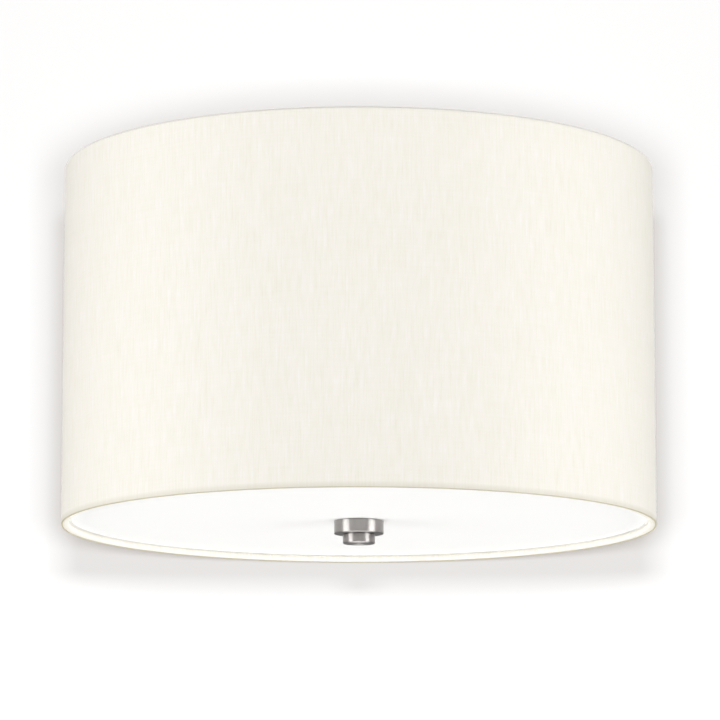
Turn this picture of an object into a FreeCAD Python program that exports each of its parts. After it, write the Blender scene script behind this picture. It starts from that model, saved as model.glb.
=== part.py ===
"""Flush mount ceiling light with a fabric drum shade, a flat diffuser and two screw-in lamps.

Millimetres, +Z up. The origin is the centre of the fixture on the ceiling's surface, so that
everything hangs below z = 0. The photograph looks along +Y, a little upwards.
"""
import FreeCAD, Part
import math
import os
import re

import Sketcher

Vector = FreeCAD.Vector
UP = Vector(0, 0, 1)

# Driving dimensions, in millimetres, degrees and counts.
SIZES = [
    ("shade_diameter", 381.0),
    ("shade_height", 233.0),
    ("shade_drop", 12.0),
    ("fabric_thickness", 0.5),
    ("liner_thickness", 0.7),
    ("ring_wire_diameter", 3.2),
    ("glue_line", 0.05),
    ("arm_count", 3),
    ("first_arm_angle", 90.0),
    ("arm_wire_diameter", 3.2),
    ("arm_bend_reach", 158.0),
    ("arm_bend_radius", 14.0),
    ("arm_root_radius", 13.0),
    ("arm_slit_clearance", 0.25),
    ("hub_diameter", 50.0),
    ("hub_thickness", 2.0),
    ("canopy_diameter", 133.35),
    ("canopy_depth", 27.0),
    ("canopy_thickness", 1.0),
    ("canopy_corner_radius", 9.0),
    ("crossbar_length", 101.6),
    ("crossbar_width", 20.0),
    ("crossbar_thickness", 2.0),
    ("box_screw_near", 69.85),
    ("box_screw_far", 88.9),
    ("slot_width", 5.0),
    ("ground_screw_offset", 22.0),
    ("ground_screw_diameter", 4.8),
    ("ground_head_diameter", 8.0),
    ("ground_head_height", 2.5),
    ("ground_wire_diameter", 1.6),
    ("ground_wire_reach", 33.2),
    ("ground_wire_bend", 14.0),
    ("ground_wire_level", 13.0),
    ("rod_diameter", 9.7),
    ("rod_bore", 6.4),
    ("rod_pitch", 0.941),
    ("rod_grip_turns", 5.0),
    ("thread_clearance", 0.05),
    ("nut_across_flats", 14.3),
    ("nut_height", 3.2),
    ("washer_thickness", 0.8),
    ("lock_washer_diameter", 17.0),
    ("bracket_drop", 21.0),
    ("bracket_width", 22.0),
    ("bracket_thickness", 1.5),
    ("socket_spacing", 104.0),
    ("socket_diameter", 36.0),
    ("socket_length", 50.0),
    ("socket_mouth_depth", 31.0),
    ("socket_wall", 4.5),
    ("socket_cap_thickness", 7.0),
    ("socket_floor_thickness", 3.5),
    ("socket_floor_hole", 5.0),
    ("socket_edge", 1.5),
    ("nipple_length", 16.0),
    ("shell_thickness", 0.45),
    ("shell_length", 28.0),
    ("contact_width", 6.0),
    ("contact_thickness", 0.7),
    ("contact_foot", 2.7),
    ("lamp_base_diameter", 25.9),
    ("lamp_base_length", 18.5),
    ("lamp_base_clearance", 0.08),
    ("lamp_tip_diameter", 9.5),
    ("lamp_tip_flat", 6.4),
    ("lamp_tip_height", 2.0),
    ("lamp_insulator_height", 3.5),
    ("lamp_collar_length", 44.0),
    ("lamp_collar_foot_diameter", 28.0),
    ("lamp_collar_neck_diameter", 32.8),
    ("lamp_foot_gap", 0.6),
    ("lamp_diameter", 60.0),
    ("lamp_shoulder_height", 6.0),
    ("lamp_dome_wall", 1.6),
    ("lead_diameter", 2.2),
    ("lead_spacing", 2.5),
    ("lead_bend_stand", 3.3),
    ("bushing_reach", 34.0),
    ("bushing_bore", 6.6),
    ("bushing_wall", 1.6),
    ("bushing_flange", 1.5),
    ("connector_entry", 9.0),
    ("connector_mouth_offset", 15.0),
    ("connector_length", 22.0),
    ("connector_mouth_diameter", 12.0),
    ("connector_tip_diameter", 7.0),
    ("connector_bore", 6.0),
    ("connector_level", 13.0),
    ("diffuser_recess", 4.2),
    ("diffuser_thickness", 3.0),
    ("diffuser_edge", 0.5),
    ("diffuser_gap", 0.8),
    ("diffuser_hole_clearance", 0.6),
    ("stop_washer_diameter", 26.0),
    ("stop_washer_thickness", 1.2),
    ("rubber_washer_diameter", 26.0),
    ("rubber_washer_thickness", 1.5),
    ("rubber_washer_stand", 0.3),
    ("flange_diameter", 31.75),
    ("flange_height", 8.1),
    ("flange_edge", 0.5),
    ("knob_diameter", 20.6),
    ("knob_height", 6.3),
    ("knob_edge", 1.0),
    ("knob_neck_height", 0.4),
    ("knob_neck_inset", 1.2),
]

doc = FreeCAD.newDocument("ceiling_light")
sheet = doc.addObject("Spreadsheet::Sheet", "dim")
for row, (alias, number) in enumerate(SIZES, start=1):
    sheet.set(f"A{row}", alias)
    sheet.set(f"B{row}", str(number))
    sheet.setAlias(f"B{row}", alias)
doc.recompute()

nodes = []

# Expressions for the axis that pieces are turned about, the ceiling's level, and the level of
# a connector's mouth before the connector is laid on its side.
AXIS = "0"
CEILING = "0"
MOUTH = "0"
# How near two lengths are to count as one, the share of a run that a bend may take up, and
# how far a wire's volume may be from its section times its length.
SAME_LENGTH = 1e-4
BEND_SHARE = 0.45
VOLUME_SHARE = 0.01


def bound(expression):
    """The expression with each size's name pointing at its cell in the sheet."""
    return re.sub(r"\b([a-z]+(?:_[a-z]+)+)\b", r"dim.\1", f"({expression})")


def value(expression):
    """The number that an expression in the sheet's sizes comes to."""
    return float(sheet.evalExpression(bound(expression)))


# Heights and radii that several pieces share, as expressions in the driving dimensions.
RIM_TOP = "(-shade_drop)"
RIM_BOTTOM = "(-shade_drop - shade_height)"
HEM_INNER = "(ring_wire_diameter / 2 + glue_line)"
HEM_OUTER = f"({HEM_INNER} + fabric_thickness)"
# The fold is drawn as flats an eighth of a turn apart: half a flat is this share of its distance out.
HALF_FACET = "(sqrt(2) - 1)"
RING_TOP = f"({RIM_TOP} - {HEM_OUTER})"
RING_BOTTOM = f"({RIM_BOTTOM} + {HEM_OUTER})"
FABRIC_RADIUS = "(shade_diameter / 2)"
LINER_RADIUS = f"({FABRIC_RADIUS} - fabric_thickness)"
LINER_INSIDE = f"({LINER_RADIUS} - liner_thickness)"
RING_RADIUS = f"({LINER_INSIDE} - {HEM_INNER})"
LIP_RADIUS = f"({RING_RADIUS} - {HEM_OUTER})"
THREAD_RADIUS = "(rod_diameter / 2 + thread_clearance)"
CANOPY_FLOOR = "(-canopy_depth + canopy_thickness)"
HUB_TOP = "(-canopy_depth)"
HUB_BOTTOM = f"({HUB_TOP} - hub_thickness)"
ARM_LEVEL = f"({HUB_BOTTOM} - arm_wire_diameter / 2)"
BRACKET_TOP = "(-canopy_depth - bracket_drop)"
BRACKET_BOTTOM = f"({BRACKET_TOP} - bracket_thickness)"
SOCKET_MOUTH = f"({BRACKET_BOTTOM} - socket_length)"
SOCKET_FLOOR = f"({SOCKET_MOUTH} + socket_mouth_depth)"
CHAMBER_BOTTOM = f"({SOCKET_FLOOR} + socket_floor_thickness)"
CHAMBER_TOP = f"({BRACKET_BOTTOM} - socket_cap_thickness)"
SHELL_INSIDE = "(lamp_base_diameter / 2 + lamp_base_clearance)"
SOCKET_BORE = f"({SHELL_INSIDE} + shell_thickness)"
LAMP_FOOT = f"({SOCKET_MOUTH} - lamp_foot_gap)"
LAMP_SHELL_TOP = f"({LAMP_FOOT} + lamp_base_length)"
LAMP_INSULATOR_TOP = f"({LAMP_SHELL_TOP} + lamp_insulator_height)"
LAMP_TIP = f"({LAMP_INSULATOR_TOP} + lamp_tip_height)"
LAMP_SHOULDER = f"({LAMP_FOOT} - lamp_collar_length)"
NIPPLE_TOP = f"({BRACKET_TOP} + nut_height + rod_pitch)"
DIFFUSER_BOTTOM = f"({RIM_BOTTOM} + diffuser_recess)"
DIFFUSER_TOP = f"({DIFFUSER_BOTTOM} + diffuser_thickness)"
DIFFUSER_HOLE = "(rod_diameter / 2 + diffuser_hole_clearance)"
FLANGE_TOP = f"({DIFFUSER_BOTTOM} - rubber_washer_stand)"
FLANGE_BOTTOM = f"({FLANGE_TOP} - flange_height)"
KNOB_BOTTOM = f"({FLANGE_BOTTOM} - knob_height)"
ROD_TOP = "(-thread_clearance)"
ROD_BOTTOM = f"({FLANGE_BOTTOM} - rod_pitch * rod_grip_turns)"


def origin_feature(body, role):
    """One of a body's own origin planes or axes."""
    return [item for item in body.Origin.OriginFeatures if item.Role == role][0]


def new_body(name):
    return doc.addObject("PartDesign::Body", name)


def keep(piece, name):
    """Label a finished sub-part, so that it is checked and written under that name."""
    piece.Label = name
    nodes.append(piece)
    return piece


def new_sketch(body, name, role, offset=None):
    """An empty sketch on one of the body's origin planes, moved along its normal by offset."""
    sketch = body.newObject("Sketcher::SketchObject", name)
    sketch.AttachmentSupport = [(origin_feature(body, role), "")]
    sketch.MapMode = "FlatFace"
    if offset is not None:
        sketch.setExpression("AttachmentOffset.Base.z", bound(offset))
    return sketch


def pin_point(sketch, geometry, place, across, along):
    """Hold one point of a sketch at two expressions, measured from the sketch's origin."""
    for kind, expression in (("DistanceX", across), ("DistanceY", along)):
        if expression is None:
            continue
        index = sketch.addConstraint(
            Sketcher.Constraint(kind, -1, 1, geometry, place, value(expression)))
        sketch.setExpression(f"Constraints[{index}]", bound(expression))


def arc_between(start, end, centre, clockwise):
    """The arc from start to end round centre; it is always stored anticlockwise."""
    first, last = (end, start) if clockwise else (start, end)
    first_angle = math.atan2(first.y - centre.y, first.x - centre.x)
    last_angle = math.atan2(last.y - centre.y, last.x - centre.x)
    if last_angle <= first_angle:
        last_angle += 2 * math.pi
    circle = Part.Circle(centre, UP, (start - centre).Length)
    return Part.ArcOfCircle(circle, first_angle, last_angle)


def closed_outline(sketch, corners):
    """Draw a closed outline. A corner is (x, y), or (x, y, centre x, centre y, turn), where the
    edge that leaves the corner is an arc round that centre and turn is "cw" or "ccw"."""
    places = [Vector(value(corner[0]), value(corner[1]), 0) for corner in corners]
    ends = []
    for index, corner in enumerate(corners):
        start, end = places[index], places[(index + 1) % len(places)]
        if len(corner) == 2:
            edge = sketch.addGeometry(Part.LineSegment(start, end), False)
            ends.append((edge, 1, 2))
            continue
        centre = Vector(value(corner[2]), value(corner[3]), 0)
        clockwise = corner[4] == "cw"
        edge = sketch.addGeometry(arc_between(start, end, centre, clockwise), False)
        ends.append((edge, 2, 1) if clockwise else (edge, 1, 2))
    for index, corner in enumerate(corners):
        edge, start_place, end_place = ends[index]
        following, following_place, _ = ends[(index + 1) % len(ends)]
        sketch.addConstraint(
            Sketcher.Constraint("Coincident", edge, end_place, following, following_place))
        pin_point(sketch, edge, start_place, corner[0], corner[1])
        if len(corner) > 2:
            chord = places[(index + 1) % len(places)] - places[index]
            if abs(chord.x) > abs(chord.y):
                pin_point(sketch, edge, 3, None, corner[3])
            else:
                pin_point(sketch, edge, 3, corner[2], None)


def circle(sketch, across, along, radius):
    """A circle held at two expressions, with its radius bound to a third."""
    centre = Vector(value(across), value(along), 0)
    index = sketch.addGeometry(Part.Circle(centre, UP, value(radius)), False)
    pin_point(sketch, index, 3, across, along)
    held = sketch.addConstraint(Sketcher.Constraint("Radius", index, value(radius)))
    sketch.setExpression(f"Constraints[{held}]", bound(radius))


def open_route(sketch, corners, radius):
    """Straight runs through the corners, joined by tangent arcs of one radius."""
    points = [Vector(value(across), value(along), 0) for across, along in corners]
    bend = value(radius)
    starts, stops, centres = [points[0]], [], []
    for before, corner, after in zip(points, points[1:], points[2:]):
        inward = (before - corner).normalize()
        outward = (after - corner).normalize()
        half_turn = (math.pi - inward.getAngle(outward)) / 2
        reach = bend * math.tan(half_turn)
        stops.append(corner + inward * reach)
        starts.append(corner + outward * reach)
        middle = (inward + outward).normalize()
        centres.append(corner + middle * (bend / math.cos(half_turn)))
    stops.append(points[-1])
    runs = [sketch.addGeometry(Part.LineSegment(a, b), False) for a, b in zip(starts, stops)]
    for index, centre in enumerate(centres):
        start, end = stops[index], starts[index + 1]
        clockwise = (start - centre).cross(end - centre).z < 0
        arc = sketch.addGeometry(arc_between(start, end, centre, clockwise), False)
        first, last = (2, 1) if clockwise else (1, 2)
        sketch.addConstraint(Sketcher.Constraint("Tangent", runs[index], 2, arc, first))
        sketch.addConstraint(Sketcher.Constraint("Tangent", arc, last, runs[index + 1], 1))
        held = sketch.addConstraint(Sketcher.Constraint("Radius", arc, bend))
        sketch.setExpression(f"Constraints[{held}]", bound(radius))
        corner = sketch.addGeometry(Part.Point(points[index + 1]), True)
        pin_point(sketch, corner, 1, *corners[index + 1])
        sketch.addConstraint(Sketcher.Constraint("PointOnObject", corner, 1, runs[index]))
        sketch.addConstraint(Sketcher.Constraint("PointOnObject", corner, 1, runs[index + 1]))
    pin_point(sketch, runs[0], 1, *corners[0])
    pin_point(sketch, runs[-1], 2, *corners[-1])


def turned_body(name, corners):
    """A body of revolution round Z, from a closed outline of radii and heights."""
    body = new_body(name)
    profile = new_sketch(body, f"{name}_profile", "XZ_Plane")
    closed_outline(profile, corners)
    turn = body.newObject("PartDesign::Revolution", f"{name}_turned")
    turn.Profile = profile
    turn.ReferenceAxis = (profile, ["V_Axis"])
    turn.Angle = 360
    doc.recompute()
    return body


def ring_outline(inside, outside, bottom, top):
    """The section of a washer, tube or disc with a hole."""
    return [(inside, bottom), (outside, bottom), (outside, top), (inside, top)]


def round_edges(body, name, radius, places):
    """Fillet the circular edges that lie at the given radii and heights."""
    base = body.Tip
    wanted = [(value(across), value(level)) for across, level in places]
    names = []
    for index, edge in enumerate(base.Shape.Edges, start=1):
        if not isinstance(edge.Curve, Part.Circle):
            continue
        for across, level in wanted:
            near = abs(edge.Curve.Radius - across) < SAME_LENGTH
            if near and abs(edge.Curve.Center.z - level) < SAME_LENGTH:
                names.append(f"Edge{index}")
    fillet = body.newObject("PartDesign::Fillet", name)
    fillet.Base = (base, names)
    fillet.setExpression("Radius", bound(radius))
    doc.recompute()


def pocket(body, sketch, name):
    """Cut a sketch right through the body, both ways."""
    before = body.Shape.Volume
    cut = body.newObject("PartDesign::Pocket", name)
    cut.Profile = sketch
    cut.Type = "ThroughAll"
    cut.Midplane = True
    doc.recompute()
    if body.Shape.Volume >= before:
        raise RuntimeError(f"{name} cut nothing")


def move_to(piece, across=None, along=None, level=None):
    """Bind a piece's place to expressions."""
    for axis, expression in (("x", across), ("y", along), ("z", level)):
        if expression is not None:
            piece.setExpression(f"Placement.Base.{axis}", bound(expression))


def turn_about_z(piece, angle):
    piece.Placement.Rotation.Axis = UP
    piece.setExpression("Placement.Rotation.Angle", bound(angle))


def group(name, pieces):
    """Several like solids as one sub-part."""
    together = doc.addObject("Part::Compound", f"{name}_group")
    together.Links = pieces
    return keep(together, name)


def shade_fabric():
    """The outer skin of the drum, between its two rolled edges."""
    tube("shade_fabric", LINER_RADIUS, FABRIC_RADIUS, RING_BOTTOM, RING_TOP)


def rolled_edge(name, level, side):
    """The fabric's edge folded inwards round a wire ring: side is 1 at the top, -1 at the bottom."""
    corner = f"({LINER_RADIUS} - {HEM_INNER})"
    inner, outer = f"{side} * {HEM_INNER}", f"{side} * {HEM_OUTER}"
    inner_fold, outer_fold = f"{inner} * {HALF_FACET}", f"{outer} * {HALF_FACET}"
    inner_reach, outer_reach = f"{HEM_INNER} * {HALF_FACET}", f"{HEM_OUTER} * {HALF_FACET}"
    return turned_body(name, [
        (FABRIC_RADIUS, level),
        (FABRIC_RADIUS, f"{level} + {outer_fold}"),
        (f"{corner} + {outer_reach}", f"{level} + {outer}"),
        (f"{RING_RADIUS} - {outer_reach}", f"{level} + {outer}"),
        (LIP_RADIUS, f"{level} + {outer_fold}"),
        (LIP_RADIUS, f"{level} - {outer_fold}"),
        (f"{RING_RADIUS} - {outer_reach}", f"{level} - {outer}"),
        (LINER_INSIDE, f"{level} - {outer}"),
        (LINER_INSIDE, f"{level} - {inner}"),
        (f"{RING_RADIUS} - {inner_reach}", f"{level} - {inner}"),
        (f"{RING_RADIUS} - {HEM_INNER}", f"{level} - {inner_fold}"),
        (f"{RING_RADIUS} - {HEM_INNER}", f"{level} + {inner_fold}"),
        (f"{RING_RADIUS} - {inner_reach}", f"{level} + {inner}"),
        (f"{corner} + {inner_reach}", f"{level} + {inner}"),
        (LINER_RADIUS, f"{level} + {inner_fold}"),
        (LINER_RADIUS, level),
    ])


def shade_bottom_hem():
    """The bottom edge, which the diffuser passes on its way down."""
    keep(rolled_edge("bottom_roll", RING_BOTTOM, -1), "shade_bottom_hem")


def shade_top_hem():
    """The top edge, slit for each arm."""
    body = rolled_edge("top_roll", RING_TOP, 1)
    slit = arm_pipe(body, "PartDesign::SubtractivePipe", "slit", "arm_slit_clearance")
    slits = body.newObject("PartDesign::PolarPattern", "arm_slits")
    slits.Originals = [slit]
    slits.Axis = (origin_feature(body, "Z_Axis"), [""])
    slits.Angle = 360
    slits.setExpression("Occurrences", bound("arm_count"))
    body.Tip = slits
    turn_about_z(body, "first_arm_angle")
    doc.recompute()
    keep(body, "shade_top_hem")


def shade_liner():
    """The stiff sheet that the fabric is laminated on."""
    outline = ring_outline(LINER_INSIDE, LINER_RADIUS, RING_BOTTOM, RING_TOP)
    keep(turned_body("liner", outline), "shade_liner")


def wire_ring(name, level):
    """One of the two rings that hold the shade round."""
    body = new_body(name)
    section = new_sketch(body, f"{name}_section", "XZ_Plane")
    circle(section, RING_RADIUS, level, "ring_wire_diameter / 2")
    turn = body.newObject("PartDesign::Revolution", f"{name}_turned")
    turn.Profile = section
    turn.ReferenceAxis = (section, ["V_Axis"])
    turn.Angle = 360
    doc.recompute()
    keep(body, name)


def arm_pipe(body, kind, name, allowance=None):
    """A spider arm's wire, from under the hub out and up to the top ring."""
    radius = "arm_wire_diameter / 2"
    if allowance:
        radius = f"{radius} + {allowance}"
    route = new_sketch(body, f"{name}_route", "XZ_Plane")
    corners = [("arm_root_radius", ARM_LEVEL), ("arm_bend_reach", ARM_LEVEL), (RING_RADIUS, RING_TOP)]
    open_route(route, corners, "arm_bend_radius")
    section = new_sketch(body, f"{name}_section", "YZ_Plane", "arm_root_radius")
    circle(section, AXIS, ARM_LEVEL, radius)
    doc.recompute()
    pipe = body.newObject(kind, f"{name}_pipe")
    pipe.Profile = section
    pipe.Spine = (route, [])
    doc.recompute()
    return pipe


def spider_arm(number):
    """One arm of the shade's fitter, coped to the top ring that it is welded to."""
    name = f"spider_arm_{number}"
    body = new_body(name)
    arm_pipe(body, "PartDesign::AdditivePipe", name)
    before = body.Shape.Volume
    section = new_sketch(body, f"{name}_cope", "XZ_Plane")
    circle(section, RING_RADIUS, RING_TOP, HEM_INNER)
    cope = body.newObject("PartDesign::Groove", f"{name}_coped")
    cope.Profile = section
    cope.ReferenceAxis = (section, ["V_Axis"])
    cope.Angle = 360
    turn_about_z(body, f"first_arm_angle + {number - 1} * 360 / arm_count")
    doc.recompute()
    if body.Shape.Volume >= before:
        raise RuntimeError("the cope cut nothing")
    keep(body, name)


def spider_hub():
    """The washer that the arms are welded under."""
    outline = ring_outline(THREAD_RADIUS, "hub_diameter / 2", HUB_BOTTOM, HUB_TOP)
    keep(turned_body("hub", outline), "spider_hub")


def canopy_pan():
    """The pan against the ceiling, with a hole for each lead bushing."""
    outside = "(canopy_diameter / 2)"
    inside = f"({outside} - canopy_thickness)"
    body = turned_body("canopy", [
        (THREAD_RADIUS, "-canopy_depth"),
        (outside, "-canopy_depth"),
        (outside, CEILING),
        (inside, CEILING),
        (inside, CANOPY_FLOOR),
        (THREAD_RADIUS, CANOPY_FLOOR),
    ])
    round_edges(body, "outer_corner", "canopy_corner_radius", [(outside, "-canopy_depth")])
    round_edges(body, "inner_corner", "canopy_corner_radius - canopy_thickness", [(inside, CANOPY_FLOOR)])
    holes = new_sketch(body, "bushing_holes", "XY_Plane")
    for side in ("-", ""):
        circle(holes, f"{side}bushing_reach", AXIS, "bushing_bore / 2 + bushing_wall")
    pocket(body, holes, "bushing_holes_cut")
    keep(body, "canopy_pan")


def crossbar():
    """The strap that two screws hold to the outlet box, threaded for the rod."""
    body = new_body("strap")
    outline = new_sketch(body, "strap_outline", "XY_Plane")
    half_length, half_width = "(crossbar_length / 2)", "(crossbar_width / 2)"
    closed_outline(outline, [
        (f"-{half_length}", f"-{half_width}"),
        (half_length, f"-{half_width}"),
        (half_length, half_width),
        (f"-{half_length}", half_width),
    ])
    pad = body.newObject("PartDesign::Pad", "strap_sheet")
    pad.Profile = outline
    pad.Reversed = True
    pad.setExpression("Length", bound("crossbar_thickness"))
    doc.recompute()
    holes = new_sketch(body, "strap_holes", "XY_Plane")
    circle(holes, AXIS, AXIS, THREAD_RADIUS)
    circle(holes, "ground_screw_offset", AXIS, "ground_screw_diameter / 2 + thread_clearance")
    for side in (-1, 1):
        screw_slot(holes, side)
    pocket(body, holes, "strap_holes_cut")
    keep(body, "crossbar")


def screw_slot(sketch, side):
    """A slot with round ends that spans both usual outlet box screw spacings."""
    near, far = f"({side} * box_screw_near / 2)", f"({side} * box_screw_far / 2)"
    low, high = (near, far) if side > 0 else (far, near)
    half = "(slot_width / 2)"
    closed_outline(sketch, [
        (low, f"-{half}"),
        (high, f"-{half}", high, AXIS, "ccw"),
        (high, half),
        (low, half, low, AXIS, "ccw"),
    ])


def ground_screw():
    """The screw for the ground wire, its head under the crossbar."""
    shank = "ground_screw_diameter / 2"
    head, under = "ground_head_diameter / 2", "(-crossbar_thickness)"
    body = turned_body("bonding_screw", [
        (AXIS, f"{under} - ground_head_height"),
        (head, f"{under} - ground_head_height"),
        (head, under),
        (shank, under),
        (shank, CEILING),
        (AXIS, CEILING),
    ])
    move_to(body, across="ground_screw_offset")
    doc.recompute()
    keep(body, "ground_screw")


def tube(name, inside, outside, bottom, top):
    """A washer, nipple, shell or rod as one turned sub-part."""
    return keep(turned_body(f"{name}_ring", ring_outline(inside, outside, bottom, top)), name)


def hex_nut(number, across, bottom):
    """A thin hexagon nut on the rod or on a nipple."""
    prism = doc.addObject("Part::Prism", f"nut_blank_{number}")
    prism.Polygon = 6
    prism.setExpression("Circumradius", bound("nut_across_flats / sqrt(3)"))
    prism.setExpression("Height", bound("nut_height"))
    bore = doc.addObject("Part::Cylinder", f"nut_bore_{number}")
    bore.setExpression("Radius", bound(THREAD_RADIUS))
    bore.setExpression("Height", bound("nut_height"))
    nut = doc.addObject("Part::Cut", f"nut_{number}")
    nut.Base = prism
    nut.Tool = bore
    move_to(nut, across=across, level=bottom)
    return nut


def hex_nuts():
    """All the nuts: on the rod from the ceiling down, then one on each nipple."""
    levels = [
        "-crossbar_thickness - nut_height",
        f"{HUB_BOTTOM} - washer_thickness - nut_height",
        f"{BRACKET_TOP}",
        f"{BRACKET_BOTTOM} - nut_height",
        f"{DIFFUSER_TOP} + stop_washer_thickness",
    ]
    nuts = [hex_nut(number, AXIS, level) for number, level in enumerate(levels, start=1)]
    for side in (-1, 1):
        nuts.append(hex_nut(len(nuts) + 1, f"{side} * socket_spacing / 2", BRACKET_TOP))
    group("hex_nuts", nuts)


def socket_bracket():
    """The flat strap with round ends that carries both lamp holders."""
    body = new_body("lamp_strap")
    outline = new_sketch(body, "lamp_strap_outline", "XY_Plane", BRACKET_BOTTOM)
    reach, half = "(socket_spacing / 2)", "(bracket_width / 2)"
    closed_outline(outline, [
        (f"-{reach}", f"-{half}"),
        (reach, f"-{half}", reach, AXIS, "ccw"),
        (reach, half),
        (f"-{reach}", half, f"-{reach}", AXIS, "ccw"),
    ])
    for place in (f"-{reach}", AXIS, reach):
        circle(outline, place, AXIS, THREAD_RADIUS)
    pad = body.newObject("PartDesign::Pad", "lamp_strap_sheet")
    pad.Profile = outline
    pad.setExpression("Length", bound("bracket_thickness"))
    doc.recompute()
    keep(body, "socket_bracket")


def socket_nipples():
    """The short threaded tubes that hold the sockets to the bracket."""
    pieces = []
    for side in (-1, 1):
        outline = ring_outline("rod_bore / 2", "rod_diameter / 2",
                               f"{NIPPLE_TOP} - nipple_length", NIPPLE_TOP)
        body = turned_body(f"nipple_{len(pieces) + 1}", outline)
        move_to(body, across=f"{side} * socket_spacing / 2")
        pieces.append(body)
    doc.recompute()
    group("socket_nipples", pieces)


def lamp_holder(side, sign):
    """A socket with its wiring chamber, its screw shell and its spring contact."""
    place = f"{sign} * socket_spacing / 2"
    outer, chamber = "(socket_diameter / 2)", "(socket_diameter / 2 - socket_wall)"
    body = turned_body(f"{side}_holder", [
        (SOCKET_BORE, SOCKET_MOUTH),
        (outer, SOCKET_MOUTH),
        (outer, BRACKET_BOTTOM),
        (THREAD_RADIUS, BRACKET_BOTTOM),
        (THREAD_RADIUS, CHAMBER_TOP),
        (chamber, CHAMBER_TOP),
        (chamber, CHAMBER_BOTTOM),
        ("socket_floor_hole / 2", CHAMBER_BOTTOM),
        ("socket_floor_hole / 2", SOCKET_FLOOR),
        (SOCKET_BORE, SOCKET_FLOOR),
    ])
    round_edges(body, f"{side}_holder_edge", "socket_edge", [(outer, BRACKET_BOTTOM)])
    move_to(body, across=place)
    keep(body, f"{side}_socket")
    shell = tube(f"{side}_screw_shell", SHELL_INSIDE, SOCKET_BORE,
                 f"{SOCKET_FLOOR} - shell_length", SOCKET_FLOOR)
    move_to(shell, across=place)
    spring_contact(side, place)


def spring_contact(side, place):
    """A strip bent back on itself, from the socket's floor to the lamp's tip."""
    body = new_body(f"{side}_strip")
    section = new_sketch(body, f"{side}_strip_section", "XZ_Plane")
    foot, thick = "(lamp_tip_diameter / 2 + contact_thickness)", "contact_thickness"
    closed_outline(section, [
        (f"-{foot}", LAMP_TIP),
        (foot, LAMP_TIP),
        (foot, SOCKET_FLOOR),
        ("-contact_foot", SOCKET_FLOOR),
        ("-contact_foot", f"{SOCKET_FLOOR} - {thick}"),
        (f"{foot} - {thick}", f"{SOCKET_FLOOR} - {thick}"),
        (f"{foot} - {thick}", f"{LAMP_TIP} + {thick}"),
        (f"-{foot}", f"{LAMP_TIP} + {thick}"),
    ])
    pad = body.newObject("PartDesign::Pad", f"{side}_strip_sheet")
    pad.Profile = section
    pad.Midplane = True
    pad.setExpression("Length", bound("contact_width"))
    move_to(body, across=place)
    doc.recompute()
    keep(body, f"{side}_socket_contact")


def lamp(side, sign):
    """A screw-in lamp: base, insulator, tip, collar and dome, hanging from its socket."""
    place = f"{sign} * socket_spacing / 2"
    base = "(lamp_base_diameter / 2)"
    tip, bulge = "(lamp_tip_diameter / 2)", "(lamp_diameter / 2)"
    inside = "(lamp_diameter / 2 - lamp_dome_wall)"
    seat = f"({LAMP_SHOULDER} - lamp_shoulder_height)"
    pieces = {
        "screw_base": [
            (AXIS, LAMP_FOOT), (base, LAMP_FOOT), (base, LAMP_SHELL_TOP), (AXIS, LAMP_SHELL_TOP)],
        "insulator": [
            (AXIS, LAMP_SHELL_TOP), (f"{base} - shell_thickness", LAMP_SHELL_TOP),
            (tip, LAMP_INSULATOR_TOP), (AXIS, LAMP_INSULATOR_TOP)],
        "tip_contact": [
            (AXIS, LAMP_INSULATOR_TOP), (tip, LAMP_INSULATOR_TOP),
            ("lamp_tip_flat / 2", LAMP_TIP), (AXIS, LAMP_TIP)],
        "collar": [
            (AXIS, LAMP_SHOULDER), (bulge, LAMP_SHOULDER),
            ("lamp_collar_neck_diameter / 2", f"{LAMP_FOOT} - lamp_shoulder_height"),
            ("lamp_collar_foot_diameter / 2", LAMP_FOOT), (AXIS, LAMP_FOOT)],
        "dome": [
            (bulge, LAMP_SHOULDER), (bulge, seat, AXIS, seat, "cw"), (AXIS, f"{seat} - {bulge}"),
            (AXIS, f"{seat} - {inside}", AXIS, seat, "ccw"), (inside, seat), (inside, LAMP_SHOULDER)],
    }
    for name, outline in pieces.items():
        body = turned_body(f"{side}_{name}", outline)
        move_to(body, across=place)
        keep(body, f"{side}_lamp_{name}")


def lead_bushings():
    """Soft collars in the canopy's holes, with a flange under the pan."""
    bore, barrel = "(bushing_bore / 2)", "(bushing_bore / 2 + bushing_wall)"
    under, over = "(-canopy_depth)", f"({CANOPY_FLOOR} + bushing_flange)"
    pieces = []
    for side in (-1, 1):
        body = turned_body(f"bushing_{len(pieces) + 1}", [
            (bore, f"{under} - bushing_flange"),
            (f"{barrel} + bushing_wall", f"{under} - bushing_flange"),
            (f"{barrel} + bushing_wall", under),
            (barrel, under),
            (barrel, over),
            (bore, over),
        ])
        move_to(body, across=f"{side} * bushing_reach")
        pieces.append(body)
    doc.recompute()
    group("lead_bushings", pieces)


def rounded_wire(points):
    """Straight runs joined by tangent arcs, each as large as its two runs allow."""
    edges = []
    here = points[0]
    for before, corner, after in zip(points, points[1:], points[2:]):
        inward, outward = before - corner, after - corner
        reach = BEND_SHARE * min(inward.Length, outward.Length)
        half_turn = (math.pi - inward.getAngle(outward)) / 2
        start = corner + inward.normalize() * reach
        end = corner + outward.normalize() * reach
        radius = reach / math.tan(half_turn)
        inwards = ((start + end) * 0.5 - corner).normalize()
        middle = corner + inwards * (radius / math.cos(half_turn) - radius)
        edges.append(Part.LineSegment(here, start).toShape())
        edges.append(Part.Arc(start, middle, end).toShape())
        here = end
    edges.append(Part.LineSegment(here, points[-1]).toShape())
    return Part.Wire(edges)


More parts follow.
